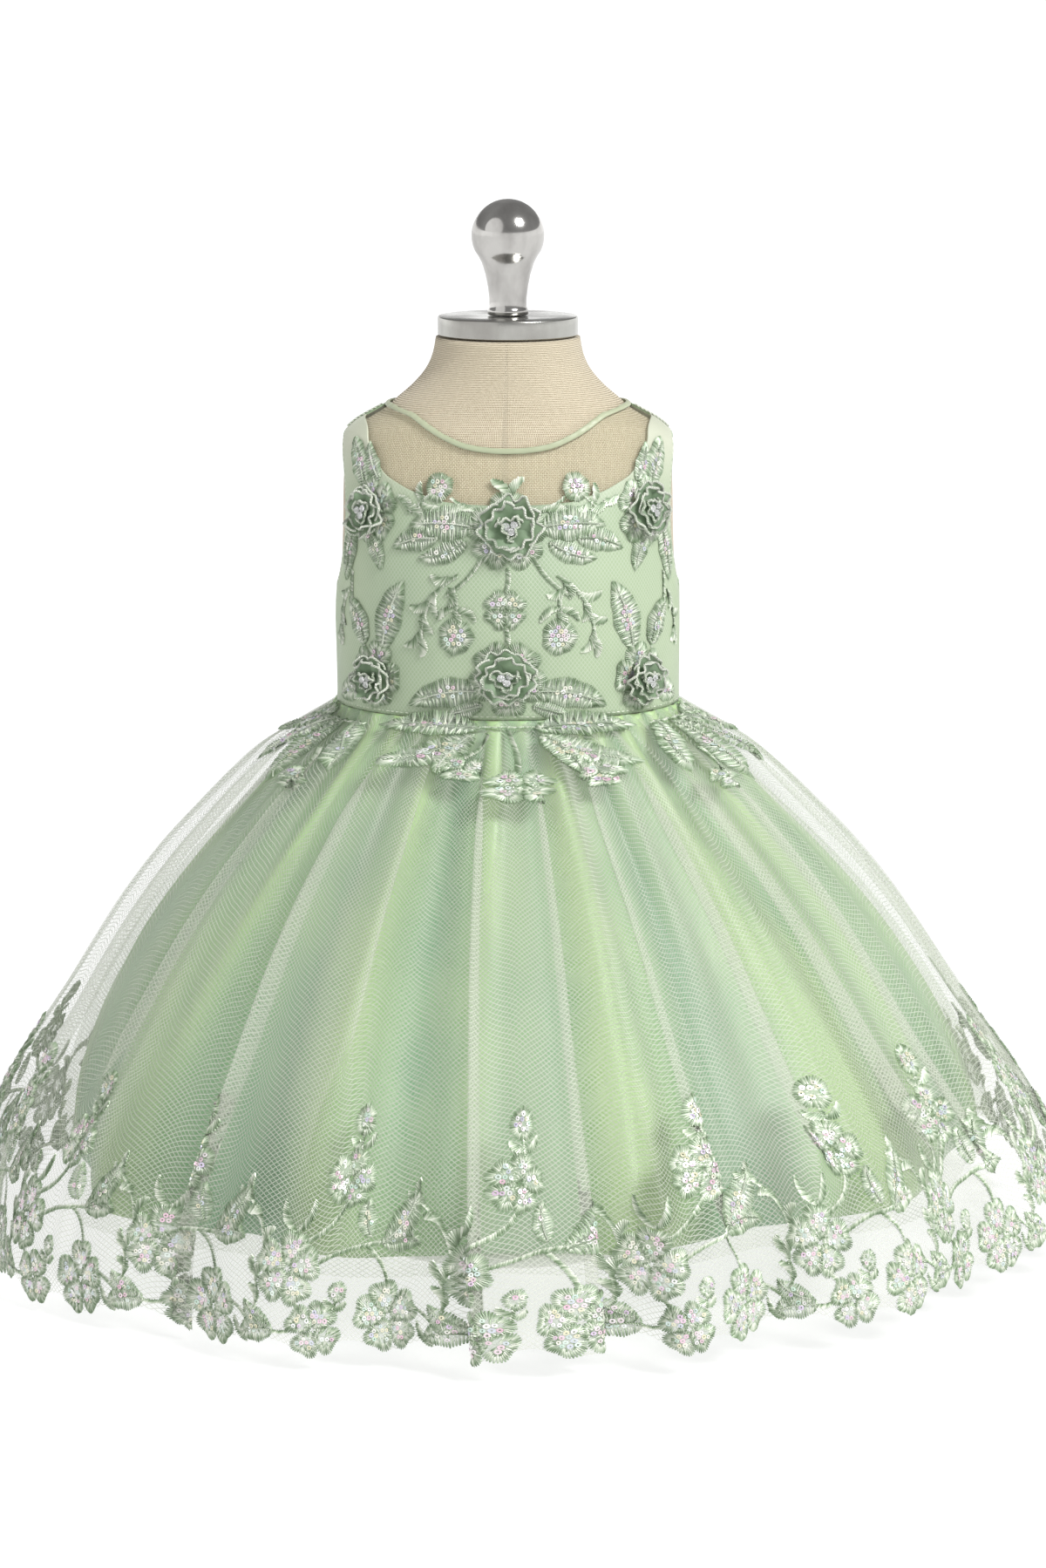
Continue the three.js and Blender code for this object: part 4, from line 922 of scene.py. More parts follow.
def button(number):
    centre = np.array([[2 * SIDE, BUTTON_LOW + BUTTON_PITCH * (number - 1)]])
    foot = off_body(centre, 4.2)[0]
    out = off_body(centre, 5.2)[0] - foot
    ways = np.array([(1.0, 0.0, 0.0), np.cross(out, (1.0, 0.0, 0.0))])
    rings = [
        foot + height * out + radius * (circle(BUTTON_SIDES) @ ways) for radius, height in BUTTON_PROFILE
    ]
    points = np.concatenate([*rings, [foot], [foot + out * BUTTON_PROFILE[-1][1]]])
    sizes = BUTTON_SIDES, len(BUTTON_PROFILE)
    faces, uv = [grid(*sizes, True), end_fans(*sizes)], points[:, ::2]
    name, node = f"covered_button_{number}", f"back_button_{number}"
    new_piece(name, points, faces, [BACK_LOOK], uv, node=node)


# The skirts
LEVEL_ROW = 0.7  # where the cloth's width is measured, as a share of the rows from the hem up
SEAM_GAP = 0.04  # degrees between a panel's edge and its side seam
COLUMN_STEP, TUCKED_STEP = 0.85, 0.66  # how far apart columns are, in weighted steps


def skirt_columns(tucked, start, end):
    """Angles from one side seam to the other, closer together at the tucks and creases."""
    fine = np.arange(start, end + 0.01, 0.125)
    weight = np.full(len(fine), 0.14)
    if tucked:
        for at, lean, *_ in TUCKS:
            weight += np.exp(-((around(fine, at + lean * 0.35) / 4.0) ** 2)) * 0.3
        for at, lean, *_ in NET_CREASES:
            weight += np.exp(-((around(fine, at + lean * 0.45) / 2.2) ** 2)) * 0.16
    run = np.concatenate([[0], np.cumsum(weight[:-1])])
    count = int(run[-1] / (TUCKED_STEP if tucked else COLUMN_STEP)) + 1
    return np.interp(np.linspace(0, run[-1], count), run, fine)


def skirt_points(start, end, hem, rows, tucked=False, hem_rise=None):
    """The angle and height of each point of a skirt panel, its number of columns and its faces."""
    angles = skirt_columns(tucked, start + SEAM_GAP, end - SEAM_GAP)
    heights = WAIST_Z - (WAIST_Z - hem) * np.linspace(1, 0, rows) ** 1.25
    degrees, z = np.meshgrid(angles, heights)
    share = (heights[-1] - z) / (heights[-1] - heights[0])
    z = z + hem_tilt(degrees) * share**1.2
    if hem_rise is not None:
        z = z + hem_rise(degrees) * smoothstep(0.9, 1.0, share)
    return degrees.ravel(), z.ravel(), len(angles), grid(len(angles), rows)


def cloth_uv(points, columns):
    """The cloth's own millimetres: along its width on one row, and up its length."""
    lines = points.reshape(-1, columns, 3)
    width = run_along(lines[int(LEVEL_ROW * len(lines))])
    step = np.linalg.norm(np.diff(lines, axis=0), axis=-1)
    climb = np.concatenate([np.zeros((1, columns)), np.cumsum(step, axis=0)])
    return np.stack([np.tile(width, len(lines)), climb.ravel()], -1)


def satin_skirt(side, start, end):
    degrees, z, columns, faces = skirt_points(start, end, SATIN_HEM_Z, 66)
    place = [moved_out(satin_skin, degrees, z, out) for out in (SATIN_OUT, SATIN_IN)]
    points, faces = shell(*place, faces)
    name, node, uv = f"satin_skirt_{side}", f"skirt_satin_{side}", cloth_uv(place[0], columns)
    made = new_piece(name, points, faces, [SATIN_LOOK], np.tile(uv, (2, 1)), node=node)
    per_point(made, FOLD_SHADE, np.tile(fold_shade_at(degrees, z), 2))


def plain_net_skirt(side, start, end):
    degrees, z, columns, faces = skirt_points(start, end, PLAIN_NET_HEM_Z, 50)
    out = SATIN_OUT + 7.9 * np.clip((WAIST_Z - z) / WAIST_Z, 0, 1) ** 0.7
    points = moved_out(plain_net_skin, degrees, z, out)
    name, node, uv = f"plain_net_skirt_{side}", f"skirt_plain_net_{side}", cloth_uv(points, columns)
    made = new_piece(name, points, [faces], [PLAIN_NET], uv, node=node)


def scallop(degrees):
    """The net is cut close under the lace: lower under the flowers."""
    s = degrees / BORDER_DEGREES
    away = (s + REPEAT_PERIOD / 2) % REPEAT_PERIOD - REPEAT_PERIOD / 2
    dips = np.exp(-(((away - 24) / 15) ** 2)) + np.exp(-(((away + 16) / 12) ** 2))
    return 5.0 - 8.0 * np.minimum(dips, 1)


def lace_net_skirt(side, start, end):
    degrees, z, columns, faces = skirt_points(start, end, HEM_CLEAR + 6, 74, True, scallop)
    points = moved_out(net_skin, degrees, z, 0.5)
    name, node, uv = f"lace_net_skirt_{side}", f"skirt_lace_net_{side}", cloth_uv(points, columns)
    made = new_piece(name, points, [faces], [LACE_NET], uv, node=node)
    per_point(made, DOUBLED, doubled_at(degrees, z))


# Embroidery in a flat plane: s across, t up and h off it
THREAD, OPEN_WORK, DISC = 0, 1, 2
LACE_LOOKS = [STITCH, FILL, SEQUIN]
STITCH_PITCH, STITCH_WIDTH = 1.15, 0.85
CORD_PITCH, CORD_WIDTH, CORD_SLANT = 0.95, 1.15, 0.7
SEQUIN_PITCH, SEQUIN_SIDES, SEQUIN_HOLE, SEQUIN_TIP = 2.5, 9, 0.36, 0.2
ROPE = np.array([(-0.5, 0.15), (-0.34, 0.78), (0.0, 1.0), (0.34, 0.78), (0.5, 0.15), (0.0, 0.0)])
# A thread's section, and its forms: shares of its length, height and width at each section
SECTION = ((-0.5, 0.0), (0.0, 1.0), (0.5, 0.0))
LONG_STITCH = ((0.0, 0.4, 0.7), (0.45, 1.0, 1.0), (1.0, 0.3, 0.55))
SHORT_STITCH = ((0.0, 0.85, 0.9), (1.0, 0.75, 0.8))


def left_of(path):
    """The way to the left at each point of a path."""
    return unit(np.gradient(path, axis=0))[:, ::-1] * (-1, 1)


class Lace:
    """Faces of embroidery collected in flat millimetres."""

    def __init__(self):
        self.points, self.uv, self.faces, self.slots, self.count = [], [], [], [], 0

    def add(self, points, uv, faces, slot):
        self.points.append(np.asarray(points, float).reshape(-1, 3))
        self.uv.append(np.asarray(uv, float).reshape(-1, 2))
        self.faces.append(np.asarray(faces) + self.count)
        self.slots.append(np.full(len(faces), slot))
        self.count += len(self.points[-1])

    def rope(self, path, width, height, lift=0.0):
        """A raised satin-stitch line along a path."""
        flat = path[:, None] + ROPE[:, 0][None, :, None] * width * left_of(path)[:, None]
        rise = np.broadcast_to(lift + height * ROPE[:, 1], flat.shape[:2])
        points = np.concatenate([flat, rise[..., None]], -1)
        uv = tube_map(run_along(path), np.arange(len(ROPE)) * 0.9)
        self.add(points, uv, grid(len(ROPE), len(path), True)[:, ::-1], THREAD)

    def fan(self, outline, centre, lift):
        """Open ground threads inside an outline."""
        n, run = len(outline), run_along(outline)
        points = np.concatenate([
            np.column_stack([outline, np.full(n, lift)]),
            np.column_stack([centre + (outline - centre) * 0.4, np.full(n, lift + 0.15)]),
            [[*centre, lift + 0.2]],
        ])
        uv = np.concatenate([np.stack([run, np.zeros(n)], -1), np.stack([run, np.ones(n)], -1), [[0, 2]]])
        i, j = np.arange(n), (np.arange(n) + 1) % n
        self.add(points, uv, np.stack([i, j, n + j, n + i], -1), OPEN_WORK)
        middle = np.stack([n + i, n + j, np.full(n, 2 * n)], -1)
        self.faces.append(middle + self.count - len(points))
        self.slots.append(np.full(n, OPEN_WORK))

    def stitches(self, roots, tips, width, height, lift=0.0, form=LONG_STITCH):
        """Single raised threads, each from its root to its tip."""
        way = tips - roots
        side = unit(way)[:, ::-1] * (1, -1)
        points, shades = [], []
        for share, rise, wide in form:
            for across, up in SECTION:
                flat = roots + way * share + side * across * width * wide
                points.append(np.column_stack([flat, np.full(len(flat), lift + height * rise * up)]))
                # darker at the root and paler at the tip: a darker outline on petal rims, and painted
                # shade on one side of each cord
                shades.append(0.52 * share - 0.28)
        count = len(roots)
        cells = grid(len(SECTION), len(form))
        faces = (cells[None] + len(shades) * np.arange(count)[:, None, None]).reshape(-1, 4)
        uv = np.column_stack([np.tile(shades, count), np.zeros(count * len(shades))])
        self.add(np.stack(points, 1), uv, faces, THREAD)

    def disc(self, at, radius, lift):
        """A ring sequin at a flat place, tipped a little."""
        tilt = chance.uniform(-SEQUIN_TIP, SEQUIN_TIP, 2)
        rings = []
        for share, rise in ((1.0, 0.0), (SEQUIN_HOLE, 0.1)):
            flat = circle(SEQUIN_SIDES) * radius * share
            rings.append(np.column_stack([flat + at, lift + rise + flat @ tilt]))
        points = np.concatenate(rings)
        self.add(points, points[:, :2], grid(SEQUIN_SIDES, 2, True), DISC)

    def built(self, name, place, node, looks=LACE_LOOKS, slot="lace"):
        flat = np.concatenate(self.points)
        uv, slots = np.concatenate(self.uv), np.concatenate(self.slots)
        return new_piece(name, place(*flat.T), self.faces, looks, uv, slots, node)


def turned(points, degrees, at=(0.0, 0.0)):
    a = math.radians(degrees)
    spin = np.array([(math.cos(a), -math.sin(a)), (math.sin(a), math.cos(a))])
    return np.asarray(points, float) @ spin + np.asarray(at, float)


def petal_outline(length, width):
    """A petal from its root at the origin, up to its notched tip."""
    a = np.arange(24) * 2 * np.pi / 24
    up = 0.5 - 0.5 * np.cos(a)
    wide = np.sin(a) * (0.42 + 0.58 * up**0.8)
    dip = 0.12 * np.exp(-((np.abs(a - np.pi) / 0.42) ** 2))
    uneven = 1 + 0.035 * np.sin(3 * a + 1.3)
    return np.column_stack([0.62 * width * wide * uneven, length * (0.06 + 0.94 * up - dip)])


def resampled(outline, count):
    """Evenly spaced points on a closed outline."""
    closed = np.concatenate([outline, outline[:1]])
    run = run_along(closed)
    return spots_at(closed, run, np.linspace(0, run[-1], count, endpoint=False))


def perimeter(outline):
    return np.linalg.norm(np.roll(outline, -1, axis=0) - outline, axis=1).sum()


def within(points, outline):
    """Which points lie inside a closed outline."""
    x, y = points[:, 0][:, None], points[:, 1][:, None]
    after = np.roll(outline, -1, axis=0)
    spans = (outline[:, 1] > y) != (after[:, 1] > y)
    share = (y - outline[:, 1]) / (after[:, 1] - outline[:, 1] + 1e-12)
    crossed = spans & (x < outline[:, 0] + share * (after[:, 0] - outline[:, 0]))
    return crossed.sum(1) % 2 == 1


def spangled(lace, outline, heart, inset, lift, kept):
    """Ring sequins in rows over the inner part of an outline."""
    inner = heart + (outline - heart) * inset
    low, high = inner.min(0), inner.max(0)
    x = np.arange(low[0], high[0], SEQUIN_PITCH)
    y = np.arange(low[1], high[1], SEQUIN_PITCH * 0.87)
    spots = np.stack(np.meshgrid(x, y), -1)
    spots[1::2, :, 0] += SEQUIN_PITCH / 2
    spots = spots.reshape(-1, 2)
    spots = spots + chance.uniform(-0.3, 0.3, spots.shape)
    spots = spots[within(spots, inner) & (chance.uniform(0, 1, len(spots)) < kept)]
    for spot in spots:
        lace.disc(spot, chance.uniform(0.95, 1.2), lift + chance.uniform(0, 0.4))


def patch(lace, outline, hearts, lift, kept, longest=4.0, reaching=0.52, inset=0.6):
    """A motif: a band of threads across its edge, loose ground inside and sequins on it."""
    heart = hearts.mean(0)
    lace.fan(heart + (outline - heart) * 0.95, heart, 0.25 + lift)
    count = int(perimeter(outline) / STITCH_PITCH)
    edge = resampled(outline, count)
    nearest = hearts[np.linalg.norm(edge[:, None] - hearts[None], axis=2).argmin(1)]
    reach = nearest - edge
    inwards, away = unit(reach), np.linalg.norm(reach, axis=1, keepdims=True) + 1e-9
    length = np.clip(reaching * away, 0.8, longest) * chance.uniform(0.8, 1.15, (count, 1))
    roots = edge - inwards * chance.uniform(0.0, 0.4, (count, 1))
    lace.stitches(roots, edge + inwards * length, STITCH_WIDTH, 1.15, 0.2 + lift)
    some = chance.uniform(0, 1, count) < 0.45
    start = (edge + inwards * length * 0.9)[some]
    lace.stitches(start, start + (inwards * length * 0.8)[some], STITCH_WIDTH, 0.8, 0.2 + lift)
    if kept:
        spangled(lace, outline, heart, inset, 0.85 + lift, kept)


def flower(lace, at, petals, radius, turn=0.0, kept=0.75):
    """Petals of threads that run in from their edges, with sequins towards the heart."""
    wide = radius * {3: 1.3, 4: 1.04, 5: 0.82, 6: 0.7}[petals]
    for number in range(petals):
        angle = turn + number * 360 / petals + chance.uniform(-4, 4)
        length = radius * chance.uniform(0.94, 1.05)
        outline = petal_outline(length, wide * chance.uniform(0.94, 1.06))
        hearts = turned([(0.0, length * 0.3), (0.0, length * 0.5)], angle, at)
        patch(lace, turned(outline, angle, at), hearts, 0.3 * (number % 2), kept)


def bud(lace, at, radius, turn=0.0, kept=0.8):
    """A round bud with two small leaves under it."""
    a = np.arange(28) * 2 * np.pi / 28
    shape = radius * (1 + 0.05 * np.sin(3 * a) + 0.04 * np.sin(7 * a))
    outline = np.column_stack([0.92 * shape * np.sin(a), -shape * np.cos(a)])
    hearts = turned([(0.0, -0.1 * radius), (0.0, 0.1 * radius)], turn, at)
    patch(lace, turned(outline, turn, at), hearts, 0.1, kept)
    for side in (-1, 1):
        start, end = turned([(0.0, -1.55 * radius), (side * 1.05 * radius, -0.85 * radius)], turn, at)
        leaflet(lace, start, end, 3.6, -0.16 * side)
    start, end = turned([(0.0, -2.1 * radius), (0.0, -0.8 * radius)], turn, at)
    stem(lace, start, end, 1.5, 0.03)


def blade(start, end, bend, steps):
    """Points on a bowed line; bend is its bow as a share of its length, to the left."""
    start, end = np.asarray(start, float), np.asarray(end, float)
    way = end - start
    left = np.array([-way[1], way[0]])
    t = np.linspace(0, 1, steps)[:, None]
    return start + way * t + left * bend * 4 * t * (1 - t)


def leaf(lace, start, end, width, bend=0.06, kept=0.7):
    """A pointed leaf of slanting threads on both sides of its midrib, with sequins along it."""
    steps = 18
    rib, t = blade(start, end, bend, steps), np.linspace(0, 1, steps)
    swell = np.sin(np.pi * t**0.8) ** 0.75 * (0.5 * width) * (1 + 0.05 * np.sin(19 * t))
    side = left_of(rib) * swell[:, None]
    outline = np.concatenate([rib + side, (rib - side)[-2:0:-1]])[::-1]
    patch(lace, outline, rib[1:-4], 0.1, kept if width > 8 else 0, 6.0, 0.78, 0.42)
    lace.rope(rib[1:-1:2], 0.9, 1.25, 0.25)


def corded(lace, path, width, height):
    """Slanting stitches side by side across a path, as wide as it is at each of its points."""
    run = run_along(path)
    count = max(3, int(run[-1] / CORD_PITCH))
    at = (np.arange(count) + 0.5) * run[-1] / count
    spot, side = spots_at(path, run, at), spots_at(left_of(path), run, at)
    half = 0.5 * np.interp(at, run, np.broadcast_to(width, len(path)))
    half = (half * chance.uniform(0.9, 1.2, count))[:, None]
    slant = half * (side + CORD_SLANT * side[:, ::-1] * (1, -1))
    # The stitches' roots all lie on one side, so the cord carries painted shade on that side
    lace.stitches(spot - slant, spot + slant, CORD_WIDTH * CORD_PITCH, height, form=SHORT_STITCH)


def leaflet(lace, start, end, width, bend=0.12):
    """A small solid leaf of satin stitch."""
    path = blade(start, end, bend, 8)
    full = np.sin(np.pi * (0.06 + 0.88 * np.linspace(0, 1, 8))) ** 0.75
    corded(lace, path, width * full, 1.3)


def stem(lace, start, end, width=1.7, bend=0.08):
    corded(lace, blade(start, end, bend, 8), width, 1.2)


def sprig(lace, start, end, count, reach, bend=0.1):
    """A stem with curved leaflets to the left and right in turn and one at its tip."""
    width, steps = 4.6, 13
    path = blade(start, end, bend, steps)
    corded(lace, path, 1.6, 1.1)
    for number in range(2 * count - 1):
        share = 0.16 + 0.78 * number / max(1, 2 * count - 2)
        i = min(steps - 1, int(share * (steps - 1)))
        way = unit(path[i] - path[max(0, i - 1)])
        turn = 1 if number % 2 else -1
        out = np.array([-way[1], way[0]]) * turn
        tip = path[i] + (way * 0.72 + out * 0.66) * reach * chance.uniform(1.0, 1.35)
        leaflet(lace, path[i], tip, width, -0.22 * turn)
    leaflet(lace, path[-1], path[-1] + unit(path[-1] - path[-2]) * reach, width, 0.15)


# Rows of a motif and its values. MIRRORED has the value that turns over with the motif.
MIRRORED = {flower: 3, bud: 2, leaf: 3, leaflet: 3, stem: 3, sprig: 4}
HEM_REPEAT = [
    (flower, (-28, 44), 5, 19, 10), (flower, (0, 84), 5, 14.5, 16),
    (stem, (-22, 56), (0, 74), 1.9, -0.12), (bud, (3, 109), 7.2, -6), (stem, (0, 92), (2, 100), 1.8),
    (leaflet, (-25, 61), (-33, 75), 3.6, 0.16), (leaflet, (-25, 61), (-17, 75), 3.6, -0.16),
    (flower, (24, 20), 5, 19.5, -8), (leaf, (22, 56), (42, 80), 15, -0.1),
    (leaf, (20, 54), (45, 56), 13, 0.1), (leaf, (14, 58), (12, 76), 10, 0.1, 0.6),
    (stem, (-12, 47), (22, 55), 1.8, 0.06), (stem, (12, 54), (24, 34), 1.9, 0.1),
    (flower, (-14, 15), 4, 14.5, 32), (stem, (-27, 30), (-18, 20), 2.0),
    (leaf, (-34, 15), (-55, 11), 13, -0.08), (leaf, (-36, 18), (-52, 28), 10, 0.12, 0.6),
    (stem, (-26, 15), (-36, 15), 1.8), (stem, (34, 26), (54, 14), 1.8, 0.15),
    (bud, (-2, 33), 5.0, 10, 0.5), (sprig, (50, 16), (54, 40), 2, 9, -0.14),
    (sprig, (-42, 52), (-57, 74), 2, 9, -0.14), (leaflet, (42, 19), (51, 8), 3.6, -0.16),
]
BODICE_MIDDLE = [
    (flower, (0, 384), 5, 20.5, 0, 0.6), (flower, (0, 310), 5, 20.5, 180, 0.6),
    (flower, (-1, 345), 4, 11, 225), (stem, (0, 366), (-1, 354), 1.8), (stem, (-1, 336), (0, 328), 1.8),
]
BODICE_BESIDE = [
    (leaf, (16, 386), (50, 386), 17, 0.05, 0.9), (leaf, (34, 380), (60, 374), 12, 0.08),
    (leaf, (20, 379), (45, 370), 10, -0.08), (stem, (12, 393), (28, 400), 1.6, -0.06),
    (bud, (34, 405), 7.4, -50, 0.95), (leaflet, (16, 394), (30, 393), 3.8, 0.14),
    (leaflet, (0, 401), (8, 409), 4.6, 0.1), (stem, (12, 372), (30, 352), 1.8, -0.08),
    (sprig, (24, 362), (43, 330), 3, 10, 0.14), (sprig, (28, 356), (25, 344), 1, 8, -0.1),
    (bud, (25, 331), 9.2, 180, 0.95), (leaf, (12, 303), (50, 294), 15, 0.08),
    (leaf, (12, 296), (30, 290), 8, 0),
]
BODICE_SIDE = [
    (flower, (76, 392), 5, 19.5, 15, 0.6), (flower, (72, 307.5), 5, 18.8, 200, 0.6),
    (leaf, (82, 404), (97, 427), 16, 0.06), (leaf, (70, 407), (80, 426), 11, -0.08),
    (leaf, (90, 384), (99, 354), 14, 0.05, 0.9), (leaf, (78, 379), (68, 362), 11, -0.1),
    (stem, (92, 360), (80, 322), 1.8, 0.12), (leaf, (66, 322), (53, 358), 17, -0.06, 0.9),
    (leaf, (80, 323), (95, 346), 15, 0.08), (leaf, (84, 300), (107, 293), 13, 0.05),
    (sprig, (96, 350), (106, 328), 2, 8, 0.1), (sprig, (58, 400), (50, 396), 1, 8),
]
WAIST_MIDDLE = [
    (stem, (-24, -4), (24, -4), 1.2, 0.02), (stem, (0, -5), (3, -34), 1.9, 0.05),
    (flower, (4, -43), 4, 12, 45), (flower, (31, -36), 3, 9, 170), (flower, (-16, -32), 3, 8.5, 190),
    (stem, (22, -12), (30, -31), 1.6), (stem, (-8, -8), (-16, -25), 1.6),
]
WAIST_BESIDE = [
    (leaf, (12, -4), (62, -6), 15, 0.06), (leaf, (14, -9), (50, -30), 16, -0.08),
    (leaf, (14, -8), (24, -36), 11, 0.1),
]
WAIST_CORDS = [((70, -6), (104, -6), 1.2, 0.02)]
WAIST_SIDE = [
    (leaf, (78, -5), (66, -40), 14, -0.08), (leaf, (86, -6), (90, -54), 16, 0.06, 0.9),
    (leaf, (94, -6), (114, -47), 16, 0.08, 0.9), (leaf, (100, -5), (131, -27), 14, 0.06),
    (leaf, (104, -4), (126, -8), 10, 0.1), (flower, (78, -48), 3, 8, 180),
    (stem, (80, -26), (79, -42), 1.5),
]


def drawn(lace, motifs, turn=1, shift=0.0):
    """Makes rows of motifs; turn is 1 on the viewer's right and -1 on the left."""
    for motif, *values in motifs:
        values = [(shift + turn * v[0], v[1]) if isinstance(v, tuple) else v for v in values]
        number = MIRRORED[motif]
        if number < len(values):
            values[number] *= turn
        motif(lace, *values)


def on_band(s, t, h):
    degrees = s * BORDER_DEGREES
    return moved_out(net_skin, degrees, HEM_CLEAR + t + hem_tilt(degrees), 0.75 + h)


def on_bodice(s, z, h):
    return moved_out(body_skin, s, z, LACE_OUT + h)


def on_waist(s, t, h):
    """Down over the net, or level with its top where the motifs reach above the waist."""
    z = WAIST_Z - 1 + np.minimum(t, 0) * 0.62
    skirt = moved_out(net_skin, s / ARC_PER_DEGREE, z, 1.0 + h)
    return skirt + np.maximum(t, 0)[:, None] * (0, 0, 1)


def hem_lace(name, first):
    lace = Lace()
    for number in range(REPEATS // 4):
        drawn(lace, HEM_REPEAT, shift=(first + number) * REPEAT_PERIOD)
    lace.built(f"hem_embroidery_{name}", on_band, f"hem_lace_{name}")


def middle_lace(name, place, middle, beside):
    lace = Lace()
    drawn(lace, middle)
    for turn in (-1, 1):
        drawn(lace, beside, turn)
    lace.built(f"{name}_embroidery_middle", place, f"{name}_lace_middle")


def side_lace(name, place, side, motifs, cords=()):
    """Lace beside the middle. Its cords, where there are any, bow the same way on both sides."""
    lace, turn = Lace(), 1 if side == "right" else -1
    for (s, t), (end_s, end_t), width, bend in cords:
        stem(lace, (turn * s, t), (turn * end_s, end_t), width, bend)
    drawn(lace, motifs, turn)
    lace.built(f"{name}_embroidery_{side}", place, f"{name}_lace_{side}")


# Machine stitches
SEW_PITCH, SEW_LENGTH, SEW_WIDTH, SEW_HEIGHT = 3.0, 2.2, 0.45, 0.3
SEAM_INSET = 1.7
SATIN_HEM_DEPTH = 13.0


def on_panel(s, z, h):
    return moved_out(body_skin, s, z, PANEL_OUT + bodice_creases_at(s, z) + h)


def on_satin_hem(degrees, rise, h):
    """A row of stitches, whose small widths in degrees come back to millimetres."""
    z = SATIN_HEM_Z + hem_tilt(degrees) + SATIN_HEM_DEPTH + rise * 4
    return moved_out(satin_skin, degrees, z, SATIN_OUT + h)


def sewing():
    """Stitches beside the armholes, the waist and the satin's hem, and the shoulders' corded seams."""
    threads = Lace()
    for turn in (-1, 1):
        for table, side in ((FRONT_SIDE[3:], -1), (FRONT_STRAP, -1), (BACK_SIDE[3:], 1)):
            path = curve(table, np.linspace(0, len(table) - 1, 160)) * (turn, 1)
            run = run_along(path)
            starts = np.arange(0.6, run[-1] - 2.4, SEW_PITCH)
            inwards = (turn * side * SEAM_INSET, 0.0)
            ends = [spots_at(path, run, starts + more) + inwards for more in (0.0, SEW_LENGTH)]
            threads.stitches(*ends, SEW_WIDTH, SEW_HEIGHT)
        for low, high in ((2, PANEL_SIDE - 2), (SIDE + 2, BACK_EDGE - 2)):
            s = turn * np.arange(low, high, SEW_PITCH)
            row = np.stack([s, np.full(len(s), PANEL_LOW + 1.6)], -1)
            threads.stitches(row, row + (turn * SEW_LENGTH, 0.0), SEW_WIDTH, SEW_HEIGHT)
        shoulder = np.linspace(429.8, 441.2, 14)
        threads.rope(np.column_stack([np.full(14, turn * SIDE), shoulder]), 1.4, 0.9)
    threads.built("bodice_topstitching", on_panel, None, [SEWING_THREAD], "satin")

    hem = Lace()
    degrees = np.arange(-180, 180, 0.75)
    row = np.stack([degrees, np.zeros(len(degrees))], -1)
    hem.stitches(row, row + (0.55, 0.0), 0.1, SEW_HEIGHT)
    hem.built("satin_hem_stitching", on_satin_hem, None, [SEWING_THREAD], "satin")


# The roses: rings of petals, as count, reach, width, stand in degrees and height of the root
ROSE_RINGS = [(4, 1.0, 1.25, 16, 0.2), (4, 0.82, 1.1, 38, 0.8), (3, 0.55, 0.8, 62, 1.6)]
ROSES = [
    ("top_middle", 1, 385, 15.5), ("top_left", -76, 391, 14), ("top_right", 76, 392, 14),
    ("waist_middle", -1, 311, 15.5), ("waist_left", -71, 306, 14), ("waist_right", 72, 306, 14),
]
PETAL_OUT = 3.0
EDGE_SIDES, EDGE_RADIUS = 5, 0.68
STONE_SIDES, STONE_OUT = 8, 5.0
STONES = ((-1.9, 0.4, 2.0), (1.9, 1.3, 1.8), (0.6, -2.0, 1.9))  # across, up and radius
STONE_PROFILE = ((0.2, 0.0), (1.0, 1.1), (0.55, 2.0))  # share of the radius, and height


def rose_petal(lace, at, angle, reach, width, stand, root):
    """One cupped petal of organza with a pale overlocked edge."""
    rows, columns = 8, 11
    v, u = np.meshgrid(np.linspace(0.04, 1, rows), np.linspace(-1, 1, columns), indexing="ij")
    swell = 0.5 * width * np.sin(np.pi * (0.1 + 0.68 * v)) ** 0.55
    end = v * (1 - 0.16 * np.abs(u) ** 3)
    lean = math.radians(stand)
    wave = 0.13 * reach * np.sin(chance.uniform(0, 6) + chance.uniform(3.5, 5.5) * u) * v**2
    curl = reach * (0.24 * u**2 * v + chance.uniform(-0.3, 0.3) * u * v)
    ruffle = 0.09 * reach * np.sin(chance.uniform(0, 6) + 6.5 * u) * v**2
    out = reach * end * math.cos(lean) - 0.1 * reach * v**3 * (stand < 30) + ruffle
    rise = root + reach * end * math.sin(lean) * 0.62 + curl * 0.5 + wave
    flat = turned(np.stack([swell * u, out], -1).reshape(-1, 2), angle, at)
    points = np.column_stack([flat, rise.ravel()])
    uv = np.column_stack([(u * width / 2).ravel(), (v * reach).ravel()])
    lace.add(points, uv, grid(columns, rows), 0)
    edge = np.concatenate([
        np.arange(rows // 2, rows) * columns,
        (rows - 1) * columns + np.arange(1, columns),
        (np.arange(rows - 2, rows // 2 - 1, -1)) * columns + columns - 1,
    ])
    path, turns = points[edge], circle(EDGE_SIDES)
    way = unit(np.gradient(path, axis=0))
    first = unit(np.cross(way, (0.0, 0.0, 1.0)))
    ring = first[:, None] * turns[:, :1] + np.cross(way, first)[:, None] * turns[:, 1:]
    edge_uv = tube_map(run_along(path), np.arange(EDGE_SIDES) * 2 * np.pi / EDGE_SIDES)
    lace.add(path[:, None] + EDGE_RADIUS * ring, edge_uv, grid(EDGE_SIDES, len(path), True), 1)


def on_rose(s, z, h):
    return on_bodice(s, z, PETAL_OUT + h)


def rose(name, s, z, radius):
    petals = Lace()
    for ring, (count, reach, width, stand, root) in enumerate(ROSE_RINGS):
        for number in range(count):
            angle = (number + 0.5 * (ring % 2)) * 360 / count + chance.uniform(-14, 14)
            tilt = stand + chance.uniform(-9, 9)
            size = chance.uniform(0.92, 1.06)
            rose_petal(petals, (s, z), angle, radius * reach * size, radius * width, tilt, root)
    looks = [ORGANZA, EDGING]
    made = petals.built(f"rose_{name}_organza", on_rose, f"rose_{name}", looks, "rose_cloth")


